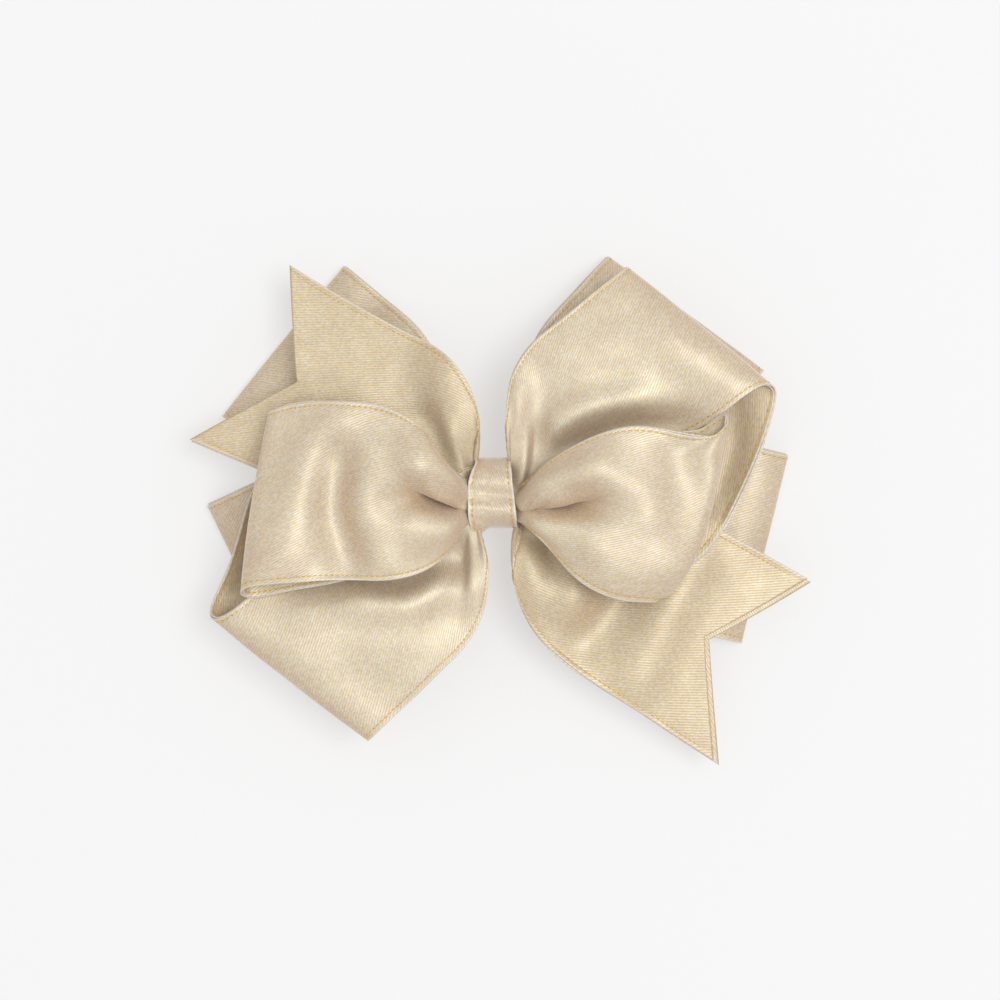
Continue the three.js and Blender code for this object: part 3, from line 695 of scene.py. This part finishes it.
def to_frame(P):
    """From millimetres round the knot to the frame's."""
    return P + np.array([KNOT[0], KNOT[1], 0])


SELVEDGE_AT = 0.95  # the stitch line, in from the selvedge
EDGE_STEPS = np.array([0, 0.22, 0.5, 0.75, 0.95, 1.2, 1.7, 2.6])  # mm in from the selvedge
ACROSS = 0.72  # mm from point to point, away from the selvedges


def across_positions(width):
    """Where the points across a ply are, closer together near the selvedges."""
    last = EDGE_STEPS[-1]
    inner = np.linspace(last, width - last, int(round((width - 2 * last) / ACROSS)) + 1)
    return np.concatenate([EDGE_STEPS[:-1], inner, (width - EDGE_STEPS[:-1])[::-1]])


def cut_start(strip, w):
    """How far the swallow-tail cut has come in at w."""
    return strip.notch * (1 - np.abs(2 * w / strip.width - 1))


# How much shorter one ply is cut than the other at the tail ribbon's two ends, mm.
TRIM = {1: (0.5, 0.0), -1: (0.0, 1.3)}
CUT_REACH = 22.0  # mm of a free end over which the rows turn to follow its cut
UNCUT = 99.0  # the distance from a cut edge where there is none, mm


def ply_rows(strip, grid, w, side):
    """Row positions, in grid rows, and the distance of each point from a cut edge."""
    n = grid.shape[0]
    rows = 2 * n if strip.closed else 2 * n - 1
    base = np.arange(rows) * 0.5
    U = np.repeat(base[:, None], len(w), 1)
    cut = np.full(U.shape, UNCUT)
    if strip.notch:
        span = CUT_REACH / strip.row
        first, final = ((cut_start(strip, w)[None, :] + trim) / strip.row for trim in TRIM[side])
        t = np.clip(U / span, 0, 1)
        U = np.where(U < span, first + t * (span - first), U)
        last = n - 1
        t = np.clip((last - base[:, None]) / span, 0, 1)
        U = np.where(base[:, None] > last - span, last - (final + t * (span - final)), U)
        slope = math.cos(math.atan(2 * strip.notch / strip.width))
        cut = np.minimum(U - first, last - U - final) * strip.row * slope
    elif not strip.closed:
        cut = np.minimum(U, n - 1 - U) * strip.row
    return U, cut


def looseness(strip, U, edge, seed):
    """How far a ply stands away from the other: a little at the selvedges, away from the waist."""
    loose = smoothstep((np.interp(U, np.arange(strip.n), strip.from_waist) - 8) / 14)
    part = loose * np.exp(-(edge / 2.2) ** 2) * (0.03 + 0.06 * wave(U * strip.row, seed, 31.0))
    part = part * (0.2 + 0.8 * smoothstep(np.interp(U, np.arange(strip.n), strip.from_fold) / 9))
    return np.maximum(part, -0.03), loose


def thin_sheet(name, outer, inner, closed, flip, material):
    """A closed sheet between two grids; flip turns the faces where the outer side is on the back."""
    rows, cols = outer.shape[:2]
    top = np.arange(rows * cols).reshape(rows, cols)
    low = top + rows * cols
    here, nxt = (top, np.roll(top, -1, 0)) if closed else (top[:-1], top[1:])
    lhere, lnxt = here + rows * cols, nxt + rows * cols
    sides = [(here[:, :-1], nxt[:, :-1], nxt[:, 1:], here[:, 1:]),
             (lhere[:, :-1], lhere[:, 1:], lnxt[:, 1:], lnxt[:, :-1]),
             (here[:, 0], lhere[:, 0], lnxt[:, 0], nxt[:, 0]),
             (here[:, -1], nxt[:, -1], lnxt[:, -1], lhere[:, -1])]
    if not closed:
        sides += [(top[0, :-1], top[0, 1:], low[0, 1:], low[0, :-1]),
                  (top[-1, :-1], low[-1, :-1], low[-1, 1:], top[-1, 1:])]
    faces = np.concatenate([np.stack([c.ravel() for c in corners], 1) for corners in sides])
    points = np.concatenate([outer.reshape(-1, 3), inner.reshape(-1, 3)])
    return mesh_object(name, to_frame(points), faces if flip else faces[:, ::-1], material)


def unit(vectors):
    return vectors / np.maximum(norm(vectors, axis=-1, keepdims=True), 1e-9)


def ply_surfaces(strip, grid, U, V, w, cut, side, seed, pitch):
    """The outer and inner faces of one ply."""
    mid = surface(strip, grid, U, V)
    nrm = normals(strip, grid, U, V)
    edge = np.minimum(w, strip.width - w)[None, :]
    part, loose = looseness(strip, U, edge, seed)
    part = part + 0.07 * np.exp(-(cut / 2.5) ** 2)
    # a thicker selvedge, and the groove that the stitches pull
    bead = 0.04 * np.exp(-((edge - 0.25) / 0.22) ** 2) - 0.06 * np.exp(-((edge - SELVEDGE_AT) / 0.25) ** 2)
    centre = side * (pitch / 2 + part)
    outer = mid + nrm * (centre + side * (PLY / 2 + bead))[..., None]
    inner = mid + nrm * (centre - side * PLY / 2)[..., None]
    # one ply lies a little to one side of the other
    slide = unit(np.stack([np.gradient(mid[..., k], axis=1) / np.gradient(w)[None, :] for k in range(3)], -1))
    amount = side * loose * (0.14 + 0.1 * wave(U * strip.row, seed + 1, 57.0))
    return outer + slide * amount[..., None], inner + slide * amount[..., None]


def cloth_ply(name, strip, grid, side, material, node, seed, pitch=PLY_PITCH):
    """One ply: side +1 stands on the strip's normal, -1 on the other side."""
    w = across_positions(strip.width)
    U, cut = ply_rows(strip, grid, w, side)
    V = np.repeat((w / strip.width * (strip.m - 1))[None, :], U.shape[0], 0)
    outer, inner = ply_surfaces(strip, grid, U, V, w, cut, side, seed, pitch)
    ob = thin_sheet(name, outer, inner, strip.closed, side < 0, material)
    across = side * np.repeat(w[None, :], len(U), 0) * MM
    flat = np.stack([U * strip.row * MM, across, np.clip(cut, 0, UNCUT) * MM], -1)
    attribute = ob.data.attributes.new("flat", "FLOAT_VECTOR", "POINT")
    attribute.data.foreach_set("vector", np.concatenate([flat.reshape(-1, 3)] * 2).astype(np.float32).ravel())
    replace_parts(ob, node)
    return ob


def stitch_bars(strip, grid, w, at, side, pitch):
    """Short bars of thread that dive into the cloth at their ends, as rings of points, at w across."""
    U = (at[:, None] + STITCH_HALF * BAR_AT[None, :]) / strip.row
    V = np.full(U.shape, w / strip.width * (strip.m - 1))
    mid = surface(strip, grid, U, V)
    nrm = normals(strip, grid, U, V) * side
    lateral = np.cross(unit(np.gradient(mid, axis=1)), nrm)
    part, _ = looseness(strip, U, min(w, strip.width - w), SEED[strip.name] + (0 if side > 0 else 5))
    centre = mid + nrm * (part + pitch / 2 + PLY / 2 - 0.03 + BAR_SINK)[..., None]
    return centre[:, :, None] + STITCH_RADIUS * BAR_GROW[None, :, None, None] * (
        lateral[:, :, None] * STITCH_RING[:, :1] * 1.2 + nrm[:, :, None] * STITCH_RING[:, 1:])


def stitching(name, strip, grid, material, faces=(1, -1), pitch=PLY_PITCH):
    """The dashes of the seam inside both selvedges, on the faces given."""
    points, polygons, base = [], [], 0
    for w in (SELVEDGE_AT, strip.width - SELVEDGE_AT):
        first = cut_start(strip, w) + (CUT_GAP if strip.notch else 0) + END_GAP
        at = first + STITCH_STEP * np.arange(int((strip.length - 2 * first) / STITCH_STEP))
        if strip.name != "wrap":
            at = at[np.interp(at / strip.row, np.arange(strip.n), strip.from_waist) > 1.0]
        for side in faces:
            bars = stitch_bars(strip, grid, w, at, side, pitch)
            points.append(bars.reshape(-1, 3))
            index = base + np.arange(len(points[-1])).reshape(bars.shape[:3])
            base += len(points[-1])
            polygons += walls(index) + index[:, 0].tolist() + index[:, -1, ::-1].tolist()
    ob = mesh_object(name, to_frame(np.concatenate(points)), polygons, material)
    return ob


STITCH_STEP, STITCH_HALF, STITCH_RADIUS = 1.05, 0.42, 0.088  # mm
END_GAP, CUT_GAP = 0.7, 1.5  # mm from a ribbon's end to its first stitch, and what a swallow-tail adds to it
STITCH_RING = np.array([[math.cos(2 * math.pi * k / 5), math.sin(2 * math.pi * k / 5)] for k in range(5)])
# along a stitch, from -1 to 1: where its rings are, their size, and how far they sink, mm
BAR_AT = np.array([-1.0, -0.72, 0.72, 1.0])
BAR_GROW = np.array([0.35, 1.0, 1.0, 0.35])
BAR_SINK = np.array([-0.1, 0.0, 0.0, -0.1])
SEED = {"rear_a": 11, "rear_b": 23, "tail": 37, "front": 41, "wrap": 53}


# ---- Materials
class Nodes:
    """A small helper to write the node tree of a material or of the world."""

    def __init__(self, name, kind=bpy.data.materials, shader="Principled BSDF"):
        self.owner = kind.new(name)
        self.owner.use_nodes = True
        self.tree = self.owner.node_tree
        self.shader = self.tree.nodes[shader]

    def node(self, kind, **inputs):
        n = self.tree.nodes.new("ShaderNode" + kind)
        for key, value in inputs.items():
            if hasattr(n, key) and key not in n.inputs:
                setattr(n, key, value)
                continue
            self.put(n.inputs[int(key[1:]) if key[1:].isdigit() else key], value)
        return n

    def noise(self, at, scale, detail, roughness=0.5):
        return self.node("TexNoise", Vector=at, Scale=scale, Detail=detail, Roughness=roughness).outputs[0]

    def remap(self, value, low, high, at_low, at_high):
        return self.node("MapRange", Value=value, i1=low, i2=high, i3=at_low, i4=at_high).outputs[0]

    def set(self, **values):
        """The shader's own sockets; Two_Words stands for the one named Two Words."""
        for key, value in values.items():
            self.put(self.shader.inputs[key.replace("_", " ")], value)

    def put(self, socket, value):
        if isinstance(value, bpy.types.NodeSocket):
            self.tree.links.new(value, socket)
        else:
            socket.default_value = value

    def math(self, operation, a, b=0.0, c=0.0):
        n = self.tree.nodes.new("ShaderNodeMath")
        n.operation = operation
        for socket, value in zip(n.inputs, (a, b, c)):
            self.put(socket, value)
        return n.outputs[0]

    def mix(self, factor, a, b, blend="MIX"):
        n = self.tree.nodes.new("ShaderNodeMix")
        n.data_type = "RGBA"
        n.blend_type = blend
        self.put(n.inputs[0], factor)
        self.put(n.inputs[6], a)
        self.put(n.inputs[7], b)
        return n.outputs[2]

    def ramp(self, value, stops):
        n = self.tree.nodes.new("ShaderNodeValToRGB")
        self.put(n.inputs[0], value)
        while len(n.color_ramp.elements) < len(stops):
            n.color_ramp.elements.new(0.5)
        for e, (at, colour) in zip(n.color_ramp.elements, stops):
            e.position = at
            e.color = (*colour, 1)
        return n.outputs[0]


def linear(r, g, b):
    """An sRGB colour, 0 to 255, as the linear values that a shader takes."""
    out = []
    for c in (r, g, b):
        c /= 255
        out.append(c / 12.92 if c <= 0.04045 else ((c + 0.055) / 1.055) ** 2.4)
    return tuple(out)


LINE = 0.00050  # from one twill line to the next, m
FLOAT = 0.00046  # length of one float along its line, m
LEAN, RISE = 0.5, 0.866  # sine and cosine of the lines' 30 degrees off the length
TURN = 2 * math.pi


def weave(m, flat, s, w):
    """How high a point stands on its float, 0 to 1, and the float's own shade."""
    # the lines are a little uneven
    wobble = m.noise(flat, 420.0, 2.0)
    t = m.math("ADD", m.math("MULTIPLY", s, -LEAN), m.math("MULTIPLY", w, RISE))
    t = m.math("ADD", t, m.math("MULTIPLY", wobble, 0.00012))
    u = m.math("ADD", m.math("MULTIPLY", s, RISE), m.math("MULTIPLY", w, LEAN))
    lines = m.math("DIVIDE", t, LINE)
    crest = m.math("MULTIPLY_ADD", m.math("COSINE", m.math("MULTIPLY", lines, TURN)), 0.5, 0.5)
    # each line is a row of floats, every one with its own shade
    row = m.math("FLOOR", m.math("MULTIPLY", lines, 2.0))
    along = m.math("ADD", m.math("DIVIDE", u, FLOAT), m.math("MULTIPLY", row, 0.37))
    cell = m.node("CombineXYZ", i0=m.math("FLOOR", along), i1=row, i2=0.0).outputs[0]
    shade = m.node("TexWhiteNoise", Vector=cell).outputs["Value"]
    beads = m.math("COSINE", m.math("MULTIPLY", along, TURN))
    return m.math("MULTIPLY", crest, m.math("MULTIPLY_ADD", beads, 0.16, 0.84)), shade


def lame_satin(name, width=RIBBON, selvedge=(0.2, 0.42, 0.4), painted_shade_tint=(1, 1, 1)):
    """Champagne lame: gold metallic floats over a pinkish silk ground, laid in the flat cloth's own (s, w).

    The selvedge is two distances from the edge, mm, between which its paleness fades, and how pale it is."""
    m = Nodes(name)
    flat = m.node("Attribute", attribute_name="flat").outputs["Vector"]
    s, w, cut = m.node("SeparateXYZ", i0=flat).outputs
    crest, shade = weave(m, flat, s, w)
    gold = m.ramp(shade, [(0.0, linear(222, 213, 184)), (0.45, linear(229, 223, 196)),
                         (0.82, linear(241, 238, 221)), (0.9, linear(237, 218, 158))])
    silk = m.ramp(shade, [(0.0, linear(195, 174, 150)), (1.0, linear(211, 193, 172))])
    soft = m.noise(flat, 170.0, 4.0, 0.6)
    broad = m.noise(flat, 42.0, 2.0)
    amount = m.math("MULTIPLY_ADD", crest, 0.58, 0.20)
    amount = m.math("ADD", amount, m.remap(soft, 0.35, 0.65, -0.10, 0.10))
    amount = m.math("ADD", amount, m.remap(broad, 0.35, 0.65, -0.07, 0.07))
    # the tint multiplied in here is painted shade: it makes the lining ply darker and warmer for the dim
    # insides of the loops
    colour = m.mix(1.0, m.mix(amount, silk, gold), (*painted_shade_tint, 1), "MULTIPLY")
    # painted shade: where the cloth tilts away from the eye it is darkened and turned pinker, standing in for
    # the light that the gold floats lose there; where it faces the eye the floats' gold stays
    tilt = m.node("LayerWeight", Blend=0.5).outputs["Facing"]
    colour = m.mix(m.remap(tilt, 0.04, 0.30, 0.0, 0.5), colour, (0.93, 0.80, 0.755, 1), "MULTIPLY")
    # seen edge-on, the floats' tops catch the light and the cloth looks whitish
    colour = m.mix(m.remap(tilt, 0.55, 1.0, 0.0, 0.4), colour, (*linear(240, 234, 231), 1))
    # the selvedge is paler, a cut edge darker and warmer
    from_middle = m.math("ABSOLUTE", w)
    edge = m.math("MINIMUM", from_middle, m.math("SUBTRACT", width * MM, from_middle))
    pale = m.remap(edge, selvedge[0] * MM, selvedge[1] * MM, selvedge[2], 0.0)
    colour = m.mix(pale, colour, (*linear(240, 235, 228), 1))
    colour = m.mix(m.remap(cut, 0.0, 0.0003, 0.6, 0.0), colour, (*linear(210, 184, 132), 1))
    height = m.math("ADD", m.math("MULTIPLY", crest, 0.00005), m.math("MULTIPLY", shade, 0.00004))
    m.set(Base_Color=colour,
          Metallic=m.math("MULTIPLY", amount, m.math("SUBTRACT", 0.45, m.math("MULTIPLY", pale, 0.45))),
          Roughness=m.math("MULTIPLY_ADD", shade, 0.08, 0.41), Specular_IOR_Level=0.4,
          Sheen_Weight=0.6, Sheen_Roughness=0.35, Sheen_Tint=(0.93, 0.90, 0.96, 1),
          Normal=m.node("Bump", Height=height, Strength=0.35, Distance=1.0).outputs[0])
    return m.owner


def gold_thread(name):
    m = Nodes(name)
    n = m.noise(m.node("TexCoord").outputs["Object"], 2500.0, 2.0)
    m.set(Base_Color=m.ramp(n, [(0.3, linear(204, 164, 78)), (0.7, linear(236, 206, 118))]),
          Metallic=0.45, Roughness=0.42)
    return m.owner


def nickel(name, shade=1.0):
    m = Nodes(name)
    at = m.node("TexCoord").outputs["Object"]
    brushed = m.node("Mapping", Vector=at)
    brushed.inputs["Scale"].default_value = (60, 1400, 900)
    grain = m.noise(brushed.outputs[0], 1.0, 4.0)
    wear = m.noise(at, 260.0, 5.0)
    dull, bright = (0.50 * shade, 0.50 * shade, 0.49 * shade), (0.72 * shade, 0.72 * shade, 0.71 * shade)
    m.set(Base_Color=m.ramp(wear, [(0.35, dull), (0.65, bright)]), Metallic=1.0,
          Roughness=m.math("MULTIPLY_ADD", grain, 0.22, 0.16),
          Normal=m.node("Bump", Height=grain, Strength=0.08, Distance=0.0002).outputs[0])
    return m.owner


def clear_glue(name):
    m = Nodes(name)
    n = m.noise(m.node("TexCoord").outputs["Object"], 900.0, 3.0)
    m.set(Base_Color=m.ramp(n, [(0.3, linear(222, 216, 196)), (0.7, linear(240, 236, 222))]),
          Roughness=0.28, Transmission_Weight=0.35,
          Normal=m.node("Bump", Height=n, Strength=0.2, Distance=0.0002).outputs[0])
    return m.owner


SATIN = lame_satin("champagne_lame_satin")
# the lining ply's satin is tinted darker and warmer: painted shade for the dim insides of the loops
LINING_SATIN = lame_satin("champagne_lame_lining", painted_shade_tint=(0.955, 0.925, 0.86))
THREAD = gold_thread("gold_topstitch_thread")
NICKEL = nickel("nickel_plate")
GLUE = clear_glue("hot_melt_glue")
SPRING_STEEL = nickel("spring_wire_steel", 0.8)
WRAP_SATIN = lame_satin("champagne_lame_wrap", 10.0, (0.3, 0.6, 0.6))
NARROW_SATIN = lame_satin("champagne_lame_narrow", 10.0)

# ---- The bow's cloth
NODE_OF = {"rear_a": "rear_band_a", "rear_b": "rear_band_b", "tail": "tail_ribbon", "front": "front_band"}
for key, node in NODE_OF.items():
    strip, grid = STRIP[key], SHAPES[key]
    cloth_ply(node + "_outer_ply", strip, grid, 1, SATIN, node + "_outer", SEED[key])
    cloth_ply(node + "_lining_ply", strip, grid, -1, LINING_SATIN, node + "_lining", SEED[key] + 5)
    stitching(node + "_stitching", strip, grid, THREAD)

# ---- Centre wrap
TOP, BOTTOM = wrap_hi[2], wrap_lo[2]
# Round the waist from the front, by way of -Y: y, z, and the selvedges' x.
WRAP_PATH = np.array([
    (-0.7, TOP + 0.2, -4.9, 4.15), (-3.0, TOP + 0.85, -4.9, 4.4), (-4.8, TOP + 0.2, -4.8, 4.6),
    (-5.9, TOP - 1.5, -4.3, 4.7), (-6.55, TOP - 3.8, -4.3, 4.8), (-6.75, TOP - 7, -4.8, 5.0),
    (-6.7, BOTTOM + 3.2, -5, 5), (-5.9, BOTTOM + 1.2, -5, 5), (-4.5, BOTTOM + 0.25, -5, 5),
    (0, BOTTOM + 0.15, -5, 5), (4.5, BOTTOM + 0.25, -5, 5), (5.9, BOTTOM + 1.2, -5, 5),
    (6.6, BOTTOM + 3.2, -5, 5), (6.8, TOP - 7, -4.6, 4.6), (6.7, TOP - 3.6, -3.8, 3.8),
    (5.8, TOP - 1.3, -3.5, 3.4), (4.2, TOP + 0.05, -4.2, 3.65), (2.1, TOP + 0.75, -4.8, 3.8)])


class Narrow:
    """A narrow ribbon as a grid like a strip's, with n rows of m points."""
    width, notch = 10.0, 0

    def __init__(self, name, closed, held, length, n, m):
        self.name, self.closed, self.held, self.length, self.n, self.m = name, closed, held, length, n, m
        self.row = length / (n if closed else n - 1)
        self.at = np.arange(n) * self.row
        self.from_waist = self.from_fold = np.zeros(n)


def centre_wrap():
    """The narrow ribbon round the waist."""
    path, _ = catmull(WRAP_PATH, True, 40)
    path = np.vstack([path, path[:1]])
    run = run_length(path[:, :2])
    strip = Narrow("wrap", True, "stretched", run[-1], 96, 21)
    y, z, left, right = (np.interp(strip.at, run, path[:, k])[:, None] for k in range(4))
    v = np.linspace(0, 1, strip.m)[None, :]
    x = left + (right - left) * v
    # where it is squeezed narrow it puckers, and its lower edge in front sags to the left
    squeeze = 1 - (right - left) / strip.width
    front = smoothstep((z - (TOP - 8)) / 5)
    pucker = 0.35 * squeeze * front * np.cos(2 * np.pi * (3.5 * v + 0.1))
    soft = 0.10 * front * wave(y + 0.25 * x, 61, 5.0)
    sag = 2.0 * np.exp(-((x + 3.6) / 2.0) ** 2) * smoothstep((-y - 4.5) / 2) * front
    # a pucker stands out sideways at the wrap's ends, and upwards between them
    sideways, upwards = pucker * np.sign(y) * (np.abs(y) > 5.5), pucker * (np.abs(y) < 5.5)
    strip.grid = np.stack([x, y - sag + sideways, z + upwards + soft], -1)
    return strip


wrap = centre_wrap()
cloth_ply("centre_wrap_ribbon", wrap, wrap.grid, 1, WRAP_SATIN, "centre_wrap", SEED["wrap"], pitch=0)
stitching("centre_wrap_stitching", wrap, wrap.grid, THREAD, faces=(1,), pitch=0)


# ---- Behind the knot
def tube(name, path, radius, sides, material, body="bow"):
    """A round wire along a path, closed at both ends."""
    path = np.asarray(path, float)
    along = np.gradient(path, axis=0)
    along /= norm(along, axis=1, keepdims=True)
    side = np.cross(along[0], (0.31, 0.17, 0.93))
    rings = []
    for p, d in zip(path, along):
        side = side - d * (side @ d)
        side /= norm(side)
        up = np.cross(d, side)
        angles = np.arange(sides) * 2 * math.pi / sides
        rings.append([p + radius * (side * math.cos(a) + up * math.sin(a)) for a in angles])
    index = np.arange(len(path) * sides).reshape(len(path), sides)
    turned = np.roll(index, -1, 1)
    faces = np.stack([index[:-1], turned[:-1], turned[1:], index[1:]], -1).reshape(-1, 4).tolist()
    faces += [index[0, ::-1].tolist(), index[-1].tolist()]
    ob = mesh_object(name, to_frame(np.array(rings).reshape(-1, 3)), faces, material, body)
    return ob


def rounded_box_point(angle, half_y, half_z, power):
    """A point on a superellipse: the greater the power, the squarer it is."""
    c, s = math.cos(angle), math.sin(angle)
    r = (abs(c) ** power + abs(s) ** power) ** (-1 / power)
    return half_y * r * c, half_z * r * s


def binding():
    """Five turns of thread round the gathered waist."""
    turns, per_turn, pitch, radius = 5, 56, 0.4, 0.17
    low, high = thread_lo[2] + radius, thread_hi[2] + 0.25
    path = []
    for i in range(turns * per_turn + 1):
        y, z = rounded_box_point(2 * math.pi * i / per_turn - 0.5 * math.pi, 6.1, (high - low) / 2, 3.4)
        path.append((pitch * (i / per_turn - turns / 2), y, (high + low) / 2 + z))
    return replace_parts(tube("binding_thread_turns", path, radius, 6, THREAD), "binding_thread")


def glue_blob():
    """A pressed pad of clear glue with an uneven rim."""
    lo, hi = box_mm("glue_pad")
    half, rings, around = (hi - lo) / 2, 7, 44
    angle = np.arange(around) * 2 * math.pi / around
    rim = 1 - 0.07 * (1 + wave(angle * 3, 71, 19.0))
    points = [(0, 0, half[2])]
    for side in (1, -1):
        for r in np.arange(1, rings + 1) / rings if side > 0 else np.arange(rings - 1, 0, -1) / rings:
            for a, edge in zip(angle, rim):
                y, x = rounded_box_point(a, half[1], half[0], 3)
                points.append((x * r * edge, y * r * edge, side * half[2] * math.sqrt(max(0, 1 - r ** 6))))
    points.append((0, 0, -half[2]))
    count = 2 * rings - 1
    index = 1 + np.arange(count * around).reshape(count, around)
    turned = np.roll(index, -1, 1)
    faces = walls(index) + [(0, b, a) for a, b in zip(turned[0], index[0])]
    faces += [(len(points) - 1, a, b) for a, b in zip(turned[-1], index[-1])]
    ob = mesh_object("glue_blob", np.array(points) + (hi + lo) / 2, [f[::-1] for f in faces], GLUE)
    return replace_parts(ob, "glue_pad")


def clip_lining():
    """The narrow ribbon stuck along the upper jaw."""
    lo, hi = box_mm("clip_lining_ribbon")
    x0, x1, top = lo[0] - KNOT[0], hi[0] - KNOT[0], hi[2]
    line = np.array([(x0, top - 0.16), (x0 + 6, top - 0.45), (x0 + 24, top - 0.45), (x1 - 7.4, top - 0.45),
                     (x1 - 4.9, top - 1.0), (x1 - 2.4, top - 2.25), (x1 - 0.15, top - 3.45)])
    path, _ = catmull(line, False, 30)
    run = run_length(path)
    strip = Narrow("lining", False, "laid", run[-1], 48, 13)
    y = np.linspace(strip.width / 2, -strip.width / 2, strip.m)[None, :]
    x, z = (np.repeat(np.interp(strip.at, run, path[:, k])[:, None], strip.m, 1) for k in (0, 1))
    strip.grid = np.stack([x, np.repeat(y, strip.n, 0), z], -1)
    strip.grid[:, :, 2] += 0.05 * wave(strip.at[:, None] + y * 0.4, 83, 9.0)
    return strip


def spring():
    """A torsion spring round the pin: its legs press the two levers apart."""
    lo, hi = box_mm("clip_spring")
    pin_lo, pin_hi = box_mm("clip_hinge_pin")
    x, z = (pin_lo + pin_hi)[0] / 2 - KNOT[0], (pin_lo + pin_hi)[2] / 2
    wire, radius, pitch, coil, per_turn = 0.3, 1.55, 0.8, 3.5, 28
    tip, out = lo[0] - KNOT[0] + 0.02, 3 * pitch / 2  # where the legs end
    half = coil * pitch / 2

    def leg(start, end, t):
        start, end = np.array(start), np.array(end)
        return list(start + t[:, None] * (end - start))

    upper = leg((tip, -out, hi[2] - wire), (x, -half, z + radius), np.linspace(0, 0.97, 14))
    lower = leg((x, half, z - radius), (tip, out, lo[2] + wire), np.linspace(0.03, 1, 14))
    turns = [(x + radius * math.sin(2 * math.pi * i / per_turn), pitch * (i / per_turn - coil / 2),
              z + radius * math.cos(2 * math.pi * i / per_turn)) for i in range(int(per_turn * coil) + 1)]
    ob = tube("clip_spring_wire", upper + turns + lower, wire, 8, SPRING_STEEL, body=None)
    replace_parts(ob, "clip_spring")
    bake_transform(ob)


binding()
glue_blob()
lining = clip_lining()
cloth_ply("clip_lining_strip", lining, lining.grid, 1, NARROW_SATIN, "clip_lining_ribbon", 89, pitch=0)
spring()
for name in ("clip_upper_jaw", "clip_lower_jaw", "clip_hinge_pin"):
    NODES[name].data.materials.clear()
    NODES[name].data.materials.append(NICKEL)

# ---- Camera, floor and light
FLOOR = 3000.0  # half the floor's side, mm
CAMERA_AT = (1.37, -1.37)  # where the camera stands beside the knot in plan, mm

cam_data = bpy.data.cameras.new("camera")
cam_data.lens, cam_data.sensor_width = 100, 36
cam = bpy.data.objects.new("camera", cam_data)
cam.location = ((KNOT[0] + CAMERA_AT[0]) * MM, (KNOT[1] + CAMERA_AT[1]) * MM, (PLANE + EYE) * MM)
SCENE.collection.objects.link(cam)
SCENE.camera = cam

pale = Nodes("pale_floor")
pale.set(Base_Color=(0.42, 0.424, 0.428, 1), Emission_Color=(1, 1, 1, 1), Emission_Strength=0.49,
         Roughness=0.9, Specular_IOR_Level=0.1)
corners = [(-FLOOR, -FLOOR, 0), (FLOOR, -FLOOR, 0), (FLOOR, FLOOR, 0), (-FLOOR, FLOOR, 0)]
floor = mesh_object("floor", corners, [(0, 1, 2, 3)], pale.owner, body=None)
floor.location.z = -0.0002

lamp = bpy.data.lights.new("overhead", "AREA")
lamp.shape, lamp.size, lamp.energy = "DISK", 0.7, 8.2
overhead = bpy.data.objects.new("overhead", lamp)
overhead.location = (0.42, 0.06, 1.42)
overhead.rotation_euler = (-overhead.location).to_track_quat("-Z", "Y").to_euler()
SCENE.collection.objects.link(overhead)

# a white studio dome, brightest overhead and faintly warm low down
studio = Nodes("studio", bpy.data.worlds, "Background")
up = studio.node("SeparateXYZ", i0=studio.node("TexCoord").outputs["Generated"]).outputs["Z"]
dome = [(0.0, (0.60, 0.59, 0.60)), (0.45, (0.58, 0.55, 0.54)), (0.72, (0.72, 0.70, 0.69)), (1.0, (1, 1, 1))]
studio.set(Color=studio.ramp(up, dome), Strength=0.97)
SCENE.world = studio.owner
SCENE.view_settings.view_transform = "Standard"
